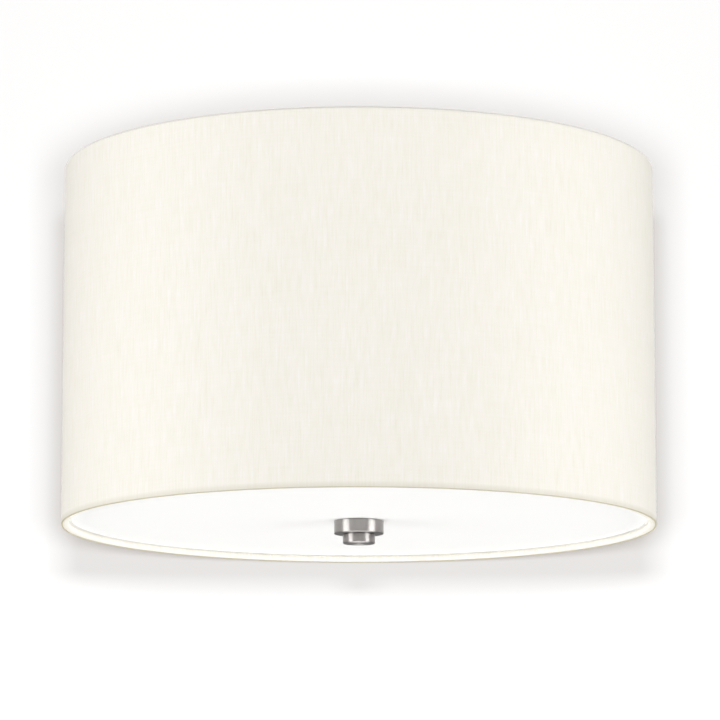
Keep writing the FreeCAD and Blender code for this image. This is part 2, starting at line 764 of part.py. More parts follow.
def wire_piece(name, points, diameter):
    """A round lead along a route through points."""
    path = rounded_wire(points)
    section = Part.Wire(Part.Circle(points[0], points[1] - points[0], diameter / 2).toShape())
    solid = path.makePipeShell([section], True, False)
    expected = math.pi * diameter ** 2 / 4 * path.Length
    if abs(solid.Volume - expected) > VOLUME_SHARE * expected:
        raise RuntimeError(f"{name} has the wrong volume")
    piece = doc.addObject("Part::Feature", name)
    piece.Shape = solid
    keep(piece, name)


def lead_route(sign, turn):
    """From the socket's chamber up the nipple, through the bushing and into a connector."""
    socket, bushing = value("socket_spacing / 2"), value("bushing_reach")
    beside, level = value("lead_spacing / 2"), value("-connector_level")
    mouth, bore = value("connector_mouth_offset"), value("connector_length / 2")
    nipple, pan = value(NIPPLE_TOP), value("-canopy_depth - bushing_flange")
    stand, entry = value("lead_bend_stand"), value("connector_entry")
    route = [
        (socket, beside * turn, value(CHAMBER_BOTTOM)),
        (socket, beside * turn, nipple + stand),
        (bushing, beside * turn, pan - stand),
        (bushing, beside * turn, level),
        ((bushing + beside) / 2, (beside + mouth / 2) * turn, level),
        (beside, entry * turn, level),
        (beside, (mouth + bore) * turn, level),
    ]
    return [Vector(sign * across, along, height) for across, along, height in route]


def leads():
    """A black and a white lead for each socket."""
    for side, sign in (("left", -1), ("right", 1)):
        for colour, turn in (("black", 1), ("white", -1)):
            wire_piece(f"{side}_{colour}_lead", lead_route(sign, turn), value("lead_diameter"))


def wire_connector(name, turn):
    """A twist-on cap over two lead ends, lying in the canopy with its mouth to the rod."""
    body = turned_body(f"{name}_cap", [
        ("connector_bore / 2", MOUTH),
        ("connector_mouth_diameter / 2", MOUTH),
        ("connector_tip_diameter / 2", "connector_length"),
        (AXIS, "connector_length"),
        (AXIS, "connector_length / 2"),
        ("connector_bore / 2", "connector_length / 2"),
    ])
    body.Placement.Rotation = FreeCAD.Rotation(Vector(1, 0, 0), -90 * turn)
    move_to(body, along=f"{turn} * connector_mouth_offset", level="-connector_level")
    doc.recompute()
    keep(body, name)


def ground_lead():
    """The bare wire from the canopy's floor to the side of the ground screw's head."""
    across, head = value("ground_screw_offset"), value("ground_head_diameter / 2")
    reach, bend = value("ground_wire_reach"), value("ground_wire_bend")
    level = value("-crossbar_thickness - ground_head_height / 2")
    points = [
        Vector(across, -reach, value(CANOPY_FLOOR)),
        Vector(across, -reach, value("-ground_wire_level")),
        Vector(across, -bend, level),
        Vector(across, -head, level),
    ]
    wire_piece("ground_lead", points, value("ground_wire_diameter"))


def diffuser_disc():
    """The flat opal disc, small enough to pass the hem on its way down."""
    edge = f"({LIP_RADIUS} - diffuser_gap)"
    body = turned_body("diffuser", ring_outline(DIFFUSER_HOLE, edge, DIFFUSER_BOTTOM, DIFFUSER_TOP))
    round_edges(body, "diffuser_edges", "diffuser_edge", [(edge, DIFFUSER_BOTTOM), (edge, DIFFUSER_TOP)])
    keep(body, "diffuser_disc")


def finial_flange():
    """The wide disc, recessed on top for the rubber washer."""
    edge, recess = "(flange_diameter / 2)", "(rubber_washer_diameter / 2 + thread_clearance)"
    floor = f"({DIFFUSER_BOTTOM} - rubber_washer_thickness)"
    body = turned_body("flange", [
        (DIFFUSER_HOLE, FLANGE_BOTTOM), (edge, FLANGE_BOTTOM), (edge, FLANGE_TOP),
        (recess, FLANGE_TOP), (recess, floor), (DIFFUSER_HOLE, floor)])
    round_edges(body, "flange_edges", "flange_edge", [(edge, FLANGE_BOTTOM), (edge, FLANGE_TOP)])
    keep(body, "finial_flange")


def finial_knob():
    """The small disc, with a short neck above it and a blind hole for the rod's end."""
    edge, neck = "(knob_diameter / 2)", "(knob_diameter / 2 - knob_neck_inset)"
    neck_bottom = f"({FLANGE_BOTTOM} - knob_neck_height)"
    hole_end = f"({ROD_BOTTOM} - thread_clearance)"
    body = turned_body("knob", [
        (AXIS, KNOB_BOTTOM), (edge, KNOB_BOTTOM), (edge, neck_bottom), (neck, neck_bottom),
        (neck, FLANGE_BOTTOM), (THREAD_RADIUS, FLANGE_BOTTOM), (THREAD_RADIUS, hole_end), (AXIS, hole_end)])
    round_edges(body, "knob_edges", "knob_edge", [(edge, KNOB_BOTTOM)])
    keep(body, "finial_knob")


def build():
    shade_fabric()
    shade_top_hem()
    shade_bottom_hem()
    shade_liner()
    wire_ring("top_wire_ring", RING_TOP)
    wire_ring("bottom_wire_ring", RING_BOTTOM)
    spider_hub()
    for number in range(1, int(value("arm_count")) + 1):
        spider_arm(number)
    crossbar()
    ground_screw()
    ground_lead()
    canopy_pan()
    lead_bushings()
    tube("centre_rod", "rod_bore / 2", "rod_diameter / 2", ROD_BOTTOM, ROD_TOP)
    hex_nuts()
    tube("hub_lock_washer", THREAD_RADIUS, "lock_washer_diameter / 2",
         f"{HUB_BOTTOM} - washer_thickness", HUB_BOTTOM)
    socket_bracket()
    socket_nipples()
    for side, sign in (("left", -1), ("right", 1)):
        lamp_holder(side, sign)
        lamp(side, sign)
    leads()
    wire_connector("black_wire_connector", 1)
    wire_connector("white_wire_connector", -1)
    tube("stop_washer", THREAD_RADIUS, "stop_washer_diameter / 2",
         DIFFUSER_TOP, f"{DIFFUSER_TOP} + stop_washer_thickness")
    diffuser_disc()
    tube("rubber_washer", DIFFUSER_HOLE, "rubber_washer_diameter / 2",
         f"{DIFFUSER_BOTTOM} - rubber_washer_thickness", DIFFUSER_BOTTOM)
    finial_flange()
    finial_knob()


def check_and_write():
    """Stop at any failed feature or bad shape, and only then write the sub-parts."""
    doc.recompute()
    for item in doc.Objects:
        if "Invalid" in item.State or "Error" in item.State:
            raise RuntimeError(f"{item.Label} failed")
    for piece in nodes:
        if piece.Shape.isNull() or not piece.Shape.isValid() or not piece.Shape.Solids:
            raise RuntimeError(f"{piece.Label} has a bad shape")
    os.makedirs("parts", exist_ok=True)
    for piece in nodes:
        piece.Shape.exportStep(f"parts/{piece.Label}.step")
    print(len(nodes), "sub-parts written")


build()
check_and_write()
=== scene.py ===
"""Dressing for a flush mount ceiling light: fabric drum shade, opal diffuser, turned finial,
and the fitter, lamp holders, lamps and wiring inside the shade."""
import math

import bpy
from bpy.props import FloatProperty, FloatVectorProperty, IntProperty, PointerProperty
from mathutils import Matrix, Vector


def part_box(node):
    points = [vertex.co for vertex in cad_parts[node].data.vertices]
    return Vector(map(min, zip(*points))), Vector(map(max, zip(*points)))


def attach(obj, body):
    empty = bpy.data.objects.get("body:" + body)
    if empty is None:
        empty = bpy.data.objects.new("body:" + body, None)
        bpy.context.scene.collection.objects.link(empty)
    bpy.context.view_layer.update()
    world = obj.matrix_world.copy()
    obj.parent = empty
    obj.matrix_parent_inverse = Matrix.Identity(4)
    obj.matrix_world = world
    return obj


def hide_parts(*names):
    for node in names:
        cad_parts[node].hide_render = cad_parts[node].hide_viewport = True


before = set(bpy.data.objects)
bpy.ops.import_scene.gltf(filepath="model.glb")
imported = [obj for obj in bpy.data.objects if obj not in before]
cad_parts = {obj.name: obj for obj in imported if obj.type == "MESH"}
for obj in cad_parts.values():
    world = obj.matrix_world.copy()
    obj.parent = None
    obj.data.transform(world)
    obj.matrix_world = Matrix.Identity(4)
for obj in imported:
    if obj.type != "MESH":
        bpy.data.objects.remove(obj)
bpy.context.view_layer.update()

bl_info = {
    "name": "Drum ceiling light",
    "version": (1, 0, 0),
    "blender": (4, 5, 0),
    "location": "3D View > Sidebar > Ceiling Light",
    "description": "Builds the shade, finial, fitter, lamp holders and lamps of a ceiling light",
    "category": "Add Mesh",
}

MM = 0.001
FULL_TURN = 2 * math.pi
ON_AXIS = 1e-7  # a radius smaller than this is a point on the axis
SIDES = ("left", "right")
SQUARE = ((-1, -1), (1, -1), (1, 1), (-1, 1))  # corners, counterclockwise


def extent(node):
    """A node's box as (low, high) vectors."""
    low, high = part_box(node)
    return Vector(low), Vector(high)


def radius_of(node):
    """Half a round node's width along X."""
    low, high = extent(node)
    return (high.x - low.x) / 2


def shade_extent():
    """The cloth's box, with both rolled edges."""
    return extent("shade_bottom_hem")[0], extent("shade_top_hem")[1]


def centre_of(node):
    """The point in the middle of a node's box, seen from above."""
    low, high = extent(node)
    return (low.x + high.x) / 2, (low.y + high.y) / 2


# ------------ settings

class ShadeSettings(bpy.types.PropertyGroup):
    """The drum's cloth"""
    fabric_light: FloatVectorProperty(
        name="Thread colour", description="The lighter threads of the shade",
        subtype="COLOR", default=(0.936, 0.906, 0.862), min=0, max=1)
    fabric_dark: FloatVectorProperty(
        name="Slub colour", description="The darker threads and slubs",
        subtype="COLOR", default=(0.863, 0.832, 0.732), min=0, max=1)
    # Painted shade: the brown painted on the cloth where it turns under at the rims, and a little above
    # the bottom rim.
    painted_edge_colour: FloatVectorProperty(
        name="Hem edge colour", description="The fabric where it turns under at the rims",
        subtype="COLOR", default=(0.50, 0.455, 0.315), min=0, max=1)
    thread_pitch: FloatProperty(
        name="Thread pitch", description="Distance from one thread to the next",
        subtype="DISTANCE", default=0.55 * MM)
    fabric_thickness: FloatProperty(
        name="Fabric thickness", description="Thickness of the laminated cloth",
        subtype="DISTANCE", default=0.5 * MM)
    hem_radius: FloatProperty(
        name="Hem radius", description="Outer radius of the cloth rolled round a wire ring",
        subtype="DISTANCE", default=2.15 * MM)
    edge_width: FloatProperty(
        name="Edge width", description="Width of the narrow edge that stands below the bottom roll",
        subtype="DISTANCE", default=0.7 * MM)
    edge_drop: FloatProperty(
        name="Edge drop", description="How far that edge stands below the roll",
        subtype="DISTANCE", default=0.45 * MM)
    seam_width: FloatProperty(
        name="Seam width", description="Width of the lapped seam at the back",
        subtype="DISTANCE", default=11 * MM)
    steps_around: IntProperty(
        name="Steps around", description="Segments round the drum", default=360, min=24)


class MetalSettings(bpy.types.PropertyGroup):
    """The finial, the rod and the plated steel"""
    nickel: FloatVectorProperty(
        name="Nickel colour", description="Brushed nickel of the finial",
        subtype="COLOR", default=(0.47, 0.450, 0.437), min=0, max=1)
    zinc: FloatVectorProperty(
        name="Zinc colour", description="Plated steel of the rod, nuts and straps",
        subtype="COLOR", default=(0.50, 0.505, 0.50), min=0, max=1)
    thread_pitch: FloatProperty(
        name="Rod thread pitch", description="Travel in one turn of the rod's thread",
        subtype="DISTANCE", default=0.941 * MM)
    thread_depth: FloatProperty(
        name="Thread depth", description="Depth of the rod's thread",
        subtype="DISTANCE", default=0.45 * MM)
    finial_edge: FloatProperty(
        name="Finial edge", description="Rounding of the turned discs",
        subtype="DISTANCE", default=0.35 * MM)


class LampSettings(bpy.types.PropertyGroup):
    """The lamps and the wire connectors"""
    thread_pitch: FloatProperty(
        name="Base thread pitch", description="Travel in one turn of a lamp",
        subtype="DISTANCE", default=3.629 * MM)
    thread_depth: FloatProperty(
        name="Base thread depth", description="Depth of the rolled thread",
        subtype="DISTANCE", default=0.8 * MM)
    ribs: IntProperty(
        name="Connector ribs", description="Ribs round a twist-on connector", default=14, min=4)


class StageSettings(bpy.types.PropertyGroup):
    """The camera, the floor and the lights"""
    lens: FloatProperty(
        name="Lens", description="Focal length on a 36 mm sensor, in millimetres", default=208.4)
    camera_distance: FloatProperty(
        name="Camera distance", description="From the light's axis to the camera",
        subtype="DISTANCE", default=2.6537)
    camera_below_rim: FloatProperty(
        name="Camera below rim", description="How far the camera is below the shade's bottom rim",
        subtype="DISTANCE", default=0.338)
    camera_pitch: FloatProperty(
        name="Camera pitch", description="Upward tilt of the camera",
        subtype="ANGLE", default=math.radians(9.56))
    camera_aside: FloatProperty(
        name="Camera aside", description="How far the camera is to the right of the axis",
        subtype="DISTANCE", default=0.7 * MM)
    floor_drop: FloatProperty(
        name="Floor drop", description="How far the floor is below the ceiling",
        subtype="DISTANCE", default=2.4)
    fill_light: FloatProperty(
        name="Fill light", description="Strength of the even light from all round",
        default=0.255, min=0)
    box_distance: FloatProperty(
        name="Soft box distance", description="From the light's axis to the side lights",
        subtype="DISTANCE", default=2.2)


SETTINGS = {
    "shade_settings": ShadeSettings,
    "metal_settings": MetalSettings,
    "lamp_settings": LampSettings,
    "stage_settings": StageSettings,
}


# ------------ mesh making

def add_object(name, vertices, faces, material, uvs=None, crease=math.radians(35)):
    """A smooth-shaded mesh object that keeps its sharp edges sharp."""
    mesh = bpy.data.meshes.new(name)
    mesh.from_pydata(vertices, [], faces)
    mesh.validate()
    mesh.shade_smooth()
    mesh.set_sharp_from_angle(angle=crease)
    if uvs is not None:
        layer = mesh.uv_layers.new(name="cloth")
        for loop in mesh.loops:
            layer.data[loop.index].uv = uvs[loop.vertex_index]
    mesh.materials.append(material)
    piece = bpy.data.objects.new(name, mesh)
    bpy.context.scene.collection.objects.link(piece)
    return piece


def corner_arc(before, corner, after, radius, steps):
    """Points of the arc that rounds one corner of an outline. A nearly straight corner stays, and
    the arc takes less than half of a short side."""
    nearly_straight, most_of_side = math.radians(175), 0.45
    inward, outward = before - corner, after - corner
    angle = inward.angle(outward)
    if angle > nearly_straight or radius <= 0:
        return [corner]
    reach = min(radius / math.tan(angle / 2), most_of_side * inward.length, most_of_side * outward.length)
    start = corner + inward.normalized() * reach
    end = corner + outward.normalized() * reach
    points = []
    for step in range(steps + 1):
        share = step / steps
        points.append(start.lerp(corner, share).lerp(corner.lerp(end, share), share))
    return points


def softened(outline, radius, steps=4, sharp=()):
    """A closed outline of (radius, height) with its corners rounded, those on the axis kept.
    The corners numbered in sharp get a quarter of the rounding."""
    places = [Vector((across, height)) for across, height in outline]
    points = []
    for index, corner in enumerate(places):
        if corner.x < ON_AXIS:
            points.append(corner)
            continue
        before, after = places[index - 1], places[(index + 1) % len(places)]
        here = radius / 4 if index in sharp else radius
        points += corner_arc(before, corner, after, here, steps)
    return [(point.x, point.y) for point in points]


def around_axis(centre, radius, angle, height):
    """The point at a radius and angle round an upright axis."""
    return centre[0] + radius * math.cos(angle), centre[1] + radius * math.sin(angle), height


def joined_rings(rings, closed=True):
    """Faces from each ring of vertex numbers to the next. A ring that isn't closed has its last
    vertex over its first one."""
    faces = []
    for lower, upper in zip(rings, rings[1:]):
        count = len(lower)
        for step in range(count if closed else count - 1):
            after = (step + 1) % count
            face = list(dict.fromkeys([lower[step], lower[after], upper[after], upper[step]]))
            if len(face) > 2:
                faces.append(face)
    return faces


def lathe(name, outline, material, around=96, centre=(0, 0), ripple=None):
    """Turn a closed outline of (radius, height) round a vertical axis.
    ripple gives the radius's change for a height and an angle."""
    vertices, rings = [], []
    for across, height in outline:
        first = len(vertices)
        if across < ON_AXIS:
            vertices.append((centre[0], centre[1], height))
            rings.append([first] * around)
            continue
        for step in range(around):
            angle = step * FULL_TURN / around
            here = across + (ripple(across, height, angle) if ripple else 0)
            vertices.append(around_axis(centre, here, angle, height))
        rings.append(list(range(first, first + around)))
    return add_object(name, vertices, joined_rings(rings + rings[:1]), material)


def threaded(name, radius, depth, pitch, low, high, material,
             centre=(0, 0), bore=0.0, around=40, rounded=False):
    """A screw thread as one closed surface, right-handed, with a bore or plain ends. Its groove
    fades to half depth at both ends."""
    rows_per_turn, faded_turns = 10, 0.8
    rows = max(2, int((high - low) / pitch * rows_per_turn))
    fade = pitch * faded_turns
    angles = [step * FULL_TURN / around for step in range(around)]
    vertices = []
    for row in range(rows + 1):
        height = low + (high - low) * row / rows
        full = max(0.0, min(1.0, (height - low) / fade, (high - height) / fade))
        for angle in angles:
            phase = (height / pitch - angle / FULL_TURN) % 1.0
            groove = 0.5 - 0.5 * math.cos(FULL_TURN * phase) if rounded else abs(2 * phase - 1)
            here = radius - depth * groove * full - depth * 0.5 * (1 - full)
            vertices.append(around_axis(centre, here, angle, height))
    if bore > 0:
        for height in (high, low):
            vertices += [around_axis(centre, bore, angle, height) for angle in angles]
    rings = [list(range(first, first + around)) for first in range(0, len(vertices), around)]
    if bore > 0:
        faces = joined_rings(rings + rings[:1])
    else:
        faces = joined_rings(rings) + [rings[0][::-1], rings[-1]]
    return add_object(name, vertices, faces, material)


# ------------ shader groups

def new_group(name, inputs, outputs):
    """An empty node group with named sockets; each input is (name, kind, default)."""
    group = bpy.data.node_groups.new(name, "ShaderNodeTree")
    for label, kind, default in inputs:
        socket = group.interface.new_socket(name=label, in_out="INPUT", socket_type=kind)
        if default is not None:
            socket.default_value = default
    for label, kind in outputs:
        group.interface.new_socket(name=label, in_out="OUTPUT", socket_type=kind)
    source = group.nodes.new("NodeGroupInput")
    sink = group.nodes.new("NodeGroupOutput")
    return group, source, sink


def feed(tree, socket, item):
    """Give a socket what it takes: another socket, a number, a vector or an (r, g, b)."""
    if isinstance(item, bpy.types.NodeSocket):
        tree.links.new(item, socket)
    elif socket.type == "RGBA":
        socket.default_value = (*item[:3], 1)
    else:
        socket.default_value = item


def math_node(tree, operation, first, second=None):
    """A math node fed by sockets or numbers; gives its output."""
    node = tree.nodes.new("ShaderNodeMath")
    node.operation = operation
    feed(tree, node.inputs[0], first)
    if second is not None:
        feed(tree, node.inputs[1], second)
    return node.outputs[0]


def vector_math(tree, operation, first, second, label=1):
    """A vector math node; label says which input takes the second item."""
    node = tree.nodes.new("ShaderNodeVectorMath")
    node.operation = operation
    feed(tree, node.inputs[0], first)
    feed(tree, node.inputs[label], second)
    return node.outputs[0]


def split(tree, vector):
    """The three parts of a vector."""
    node = tree.nodes.new("ShaderNodeSeparateXYZ")
    tree.links.new(vector, node.inputs[0])
    return node.outputs


def map_range(tree, item, low, high, new_low, new_high):
    """Stretch low to high over new_low to new_high, and hold it flat outside them."""
    node = tree.nodes.new("ShaderNodeMapRange")
    node.clamp = True
    for label, value in (("Value", item), ("From Min", low), ("From Max", high),
                         ("To Min", new_low), ("To Max", new_high)):
        feed(tree, node.inputs[label], value)
    return node.outputs["Result"]


def mix_colour(tree, share, first, second):
    """Blend two colours; each is a socket or an (r, g, b)."""
    node = tree.nodes.new("ShaderNodeMix")
    node.data_type = "RGBA"
    colour_a, colour_b, colour_result = 6, 7, 2
    feed(tree, node.inputs["Factor"], share)
    feed(tree, node.inputs[colour_a], first)
    feed(tree, node.inputs[colour_b], second)
    return node.outputs[colour_result]


def noise(tree, vector, detail=2.0, roughness=0.5):
    """Noise with one lump to each unit of the vector."""
    node = tree.nodes.new("ShaderNodeTexNoise")
    node.inputs["Scale"].default_value = 1.0
    node.inputs["Detail"].default_value = detail
    node.inputs["Roughness"].default_value = roughness
    tree.links.new(vector, node.inputs["Vector"])
    return node.outputs["Fac"]


def grain_group():
    """Fine grain: noise stretched by a vector, as a mask and as a height."""
    inputs = [("Vector", "NodeSocketVector", None), ("Stretch", "NodeSocketVector", (900, 900, 900)),
              ("Depth", "NodeSocketFloat", 0.5)]
    group, source, sink = new_group("surface_grain", inputs,
                                    [("Mask", "NodeSocketFloat"), ("Height", "NodeSocketFloat")])
    stretched = vector_math(group, "MULTIPLY", source.outputs["Vector"], source.outputs["Stretch"])
    fine = noise(group, stretched, 4.0, 0.6)
    mask = map_range(group, fine, 0.3, 0.7, 0.0, 1.0)
    group.links.new(mask, sink.inputs["Mask"])
    group.links.new(math_node(group, "MULTIPLY", mask, source.outputs["Depth"]), sink.inputs["Height"])
    return group


def mottle_group():
    """Slow unevenness: a colour that drifts a little towards a darker one."""
    inputs = [("Vector", "NodeSocketVector", None), ("Scale", "NodeSocketFloat", 30.0),
              ("Amount", "NodeSocketFloat", 0.3), ("Colour", "NodeSocketColor", None),
              ("Worn Colour", "NodeSocketColor", None)]
    group, source, sink = new_group("slow_mottle", inputs,
                                    [("Colour", "NodeSocketColor"), ("Mask", "NodeSocketFloat")])
    stretched = vector_math(group, "SCALE", source.outputs["Vector"], source.outputs["Scale"], "Scale")
    drift = map_range(group, noise(group, stretched, 5.0, 0.55), 0.35, 0.7, 0.0, 1.0)
    share = math_node(group, "MULTIPLY", drift, source.outputs["Amount"])
    group.links.new(mix_colour(group, share, source.outputs["Colour"], source.outputs["Worn Colour"]),
                    sink.inputs["Colour"])
    group.links.new(drift, sink.inputs["Mask"])
    return group


def distance_from_axis(tree, across, away):
    """How far a point is from the upright axis."""
    squares = [math_node(tree, "MULTIPLY", part, part) for part in (across, away)]
    return math_node(tree, "SQRT", math_node(tree, "ADD", *squares))


def turned_group():
    """Coordinates for lathe marks: radius and height quickly, angle slowly, from a centre."""
    inputs = [("Vector", "NodeSocketVector", None), ("Centre", "NodeSocketVector", (0, 0, 0))]
    group, source, sink = new_group("turned_coordinates", inputs, [("Vector", "NodeSocketVector")])
    moved = vector_math(group, "SUBTRACT", source.outputs["Vector"], source.outputs["Centre"])
    across, away, height = split(group, moved)
    angle = math_node(group, "ARCTAN2", away, across)
    slow_angle = math_node(group, "MULTIPLY", angle, 0.002)
    joined = group.nodes.new("ShaderNodeCombineXYZ")
    for socket, item in zip(joined.inputs, (distance_from_axis(group, across, away), slow_angle, height)):
        group.links.new(item, socket)
    group.links.new(joined.outputs[0], sink.inputs["Vector"])
    return group


# Layers of the slubs: lumps to a metre across and up, noise detail, and share of the whole.
SLUB_LAYERS = (
    ((1000, 70, 0), 2.0, 0.48),
    ((440, 36, 0), 2.0, 0.28),
    ((80, 8, 0), 1.0, 0.09),
    ((30, 800, 0), 2.0, 0.15),
)


def weave_group():
    """Plain weave with slubs, from a cloth vector in metres: across, then up."""
    inputs = [("Vector", "NodeSocketVector", None), ("Pitch", "NodeSocketFloat", 0.55 * MM)]
    group, source, sink = new_group("slub_weave", inputs,
                                    [("Shade", "NodeSocketFloat"), ("Height", "NodeSocketFloat")])
    vector = source.outputs["Vector"]
    total = None
    for stretch, detail, share in SLUB_LAYERS:
        layer = noise(group, vector_math(group, "MULTIPLY", vector, stretch), detail)
        layer = math_node(group, "MULTIPLY", layer, share)
        total = layer if total is None else math_node(group, "ADD", total, layer)
    shade = map_range(group, total, 0.34, 0.66, 0.0, 1.0)
    waves = []
    for part in split(group, vector)[:2]:
        turns = math_node(group, "DIVIDE", part, source.outputs["Pitch"])
        waves.append(math_node(group, "SINE", math_node(group, "MULTIPLY", turns, math.pi)))
    over = math_node(group, "GREATER_THAN", math_node(group, "MULTIPLY", waves[0], waves[1]), 0.0)
    warp, weft = (math_node(group, "ABSOLUTE", wave) for wave in waves)
    lifted = math_node(group, "MULTIPLY", over, warp)
    sunk = math_node(group, "MULTIPLY", math_node(group, "SUBTRACT", 1.0, over), weft)
    thread = math_node(group, "ADD", lifted, sunk)
    height = math_node(group, "ADD", math_node(group, "MULTIPLY", thread, 0.35), shade)
    group.links.new(shade, sink.inputs["Shade"])
    group.links.new(height, sink.inputs["Height"])
    return group


GROUP_MAKERS = {
    "surface_grain": grain_group,
    "slow_mottle": mottle_group,
    "turned_coordinates": turned_group,
    "slub_weave": weave_group,
}


def place_group(tree, name, **values):
    """Put a shared node group in a material and set or link its named inputs."""
    group = bpy.data.node_groups.get(name) or GROUP_MAKERS[name]()
    node = tree.nodes.new("ShaderNodeGroup")
    node.node_tree = group
    for label, item in values.items():
        feed(tree, node.inputs[label.replace("_", " ")], item)
    return node


# ------------ materials

def new_material(name, colour, roughness, metallic=0.0):
    """A material with a Principled shader; gives the material, its tree and the shader."""
    material = bpy.data.materials.new(name)
    material.use_nodes = True
    tree = material.node_tree
    shader = tree.nodes["Principled BSDF"]
    shader.inputs["Base Color"].default_value = (*colour, 1)
    shader.inputs["Roughness"].default_value = roughness
    shader.inputs["Metallic"].default_value = metallic
    material.diffuse_color = (*colour, 1)
    return material, tree, shader


def add_bump(tree, shader, height, distance, strength=1.0):
    """Raise the shader's surface by a height mask."""
    bump = tree.nodes.new("ShaderNodeBump")
    bump.inputs["Distance"].default_value = distance
    bump.inputs["Strength"].default_value = strength
    tree.links.new(height, bump.inputs["Height"])
    tree.links.new(bump.outputs["Normal"], shader.inputs["Normal"])


def object_vector(tree):
    """Places on the piece, in metres."""
    return tree.nodes.new("ShaderNodeTexCoord").outputs["Object"]


def add_grain(tree, shader, vector, stretch, rough_range, depth, strength=1.0):
    """Fine grain in a shader's roughness and bump."""
    grain = place_group(tree, "surface_grain", Vector=vector, Stretch=stretch, Depth=1.0)
    rough = map_range(tree, grain.outputs["Mask"], 0.0, 1.0, *rough_range)
    tree.links.new(rough, shader.inputs["Roughness"])
    add_bump(tree, shader, grain.outputs["Height"], depth, strength)


def grained(name, colour, roughness, metallic=0.0, worn=None, stretch=(900, 900, 900),
            depth=0.02 * MM, spread=0.12, mottle=0.35, mottle_scale=30.0, turned_about=None):
    """A finish with fine grain in its roughness and bump and slow unevenness in its colour."""
    material, tree, shader = new_material(name, colour, roughness, metallic)
    vector = object_vector(tree)
    if turned_about is not None:
        turned = place_group(tree, "turned_coordinates", Vector=vector, Centre=turned_about)
        vector = turned.outputs["Vector"]
    add_grain(tree, shader, vector, stretch, (roughness - spread / 2, roughness + spread / 2), depth)
    worn = worn or tuple(part * 0.82 for part in colour)
    drift = place_group(tree, "slow_mottle", Vector=object_vector(tree), Scale=mottle_scale,
                        Amount=mottle, Colour=colour, Worn_Colour=worn)
    tree.links.new(drift.outputs["Colour"], shader.inputs["Base Color"])
    return material


def fabric_material(settings):
    """Laminated slub cloth: uneven vertical threads, and painted shade: a browner edge where it turns
    under.
    """
    material, tree, shader = new_material("slub_cloth", settings.fabric_light, 0.55)
    cloth = tree.nodes.new("ShaderNodeUVMap")
    cloth.uv_map = "cloth"
    weave = place_group(tree, "slub_weave", Vector=cloth.outputs["UV"], Pitch=settings.thread_pitch)
    threads = mix_colour(tree, weave.outputs["Shade"], tuple(settings.fabric_dark),
                         tuple(settings.fabric_light))
    low, high = shade_extent()
    across, away, height = split(tree, object_vector(tree))
    span = distance_from_axis(tree, across, away)
    outside = radius_of("shade_fabric")
    painted_edge_colour = tuple(settings.painted_edge_colour)
    # On the wall's outer face just above the rim the cloth is a little browner: partly the doubled cloth,
    # partly painted shade of the wire ring behind it.
    outward = map_range(tree, span, outside - 2.5 * MM, outside - 1 * MM, 0.0, 1.0)
    doubled_and_ring_shade = map_range(tree, height, low.z + 0.8 * MM, low.z + 4.2 * MM, 0.34, 0.0)
    hem_shaded = mix_colour(tree, math_node(tree, "MULTIPLY", doubled_and_ring_shade, outward), threads, painted_edge_colour)
    # Painted shade: the narrow edge under the rim is painted brown as shade under the roll, and the fold
    # at the top a little browner as shade in the fold.
    inner_edge = outside - settings.edge_width
    on_edge = map_range(tree, span, inner_edge - 0.35 * MM, inner_edge - 0.2 * MM, 0.0, 1.0)
    bottom_fold_shade = map_range(tree, height, low.z + 0.3 * MM, low.z + 0.6 * MM, 1.0, 0.0)
    bottom_fold_shade = math_node(tree, "MULTIPLY", bottom_fold_shade, on_edge)
    top_fold_shade = map_range(tree, height, high.z - 0.55 * MM, high.z - 0.2 * MM, 0.0, 0.3)
    fold_shade = math_node(tree, "MAXIMUM", bottom_fold_shade, top_fold_shade)
    tree.links.new(mix_colour(tree, fold_shade, hem_shaded, painted_edge_colour), shader.inputs["Base Color"])
    shader.inputs["Specular IOR Level"].default_value = 0.12
    add_bump(tree, shader, weave.outputs["Height"], 0.06 * MM, 0.6)
    return material


def diffuser_material():
    """Opal acrylic: nearly white, with painted light: a little whiter in a band along its edge."""
    centre_colour, painted_edge_colour = (0.965, 0.96, 0.945), (0.99, 0.99, 0.985)
    material, tree, shader = new_material("frosted_acrylic", centre_colour, 0.42)
    turned = place_group(tree, "turned_coordinates", Vector=object_vector(tree), Centre=(0, 0, 0))
    span = split(tree, turned.outputs["Vector"])[0]
    edge = radius_of("diffuser_disc")
    # Painted light: the band along the edge is painted whiter, a glow in the colour.
    band = map_range(tree, span, edge - 10 * MM, edge - 6 * MM, 0.0, 1.0)
    tree.links.new(mix_colour(tree, band, centre_colour, painted_edge_colour), shader.inputs["Base Color"])
    add_grain(tree, shader, object_vector(tree), (650, 650, 650), (0.38, 0.5), 0.01 * MM, 0.5)
    shader.inputs["Specular IOR Level"].default_value = 0.3
    return material


def nickel_material(settings):
    """Nickel with lathe marks: ring-shaped grain and highlights drawn out across it."""
    material = grained("turned_nickel", tuple(settings.nickel), 0.36, metallic=1.0,
                       stretch=(5200, 1, 5200), depth=0.012 * MM, spread=0.10, mottle=0.25,
                       mottle_scale=120.0, turned_about=(0, 0, 0))
    tree = material.node_tree
    shader = tree.nodes["Principled BSDF"]
    shader.inputs["Anisotropic"].default_value = 0.95
    shader.inputs["Anisotropic Rotation"].default_value = 0.25
    tangent = tree.nodes.new("ShaderNodeTangent")
    tangent.direction_type = "RADIAL"
    tangent.axis = "Z"
    tree.links.new(tangent.outputs["Tangent"], shader.inputs["Tangent"])
    return material


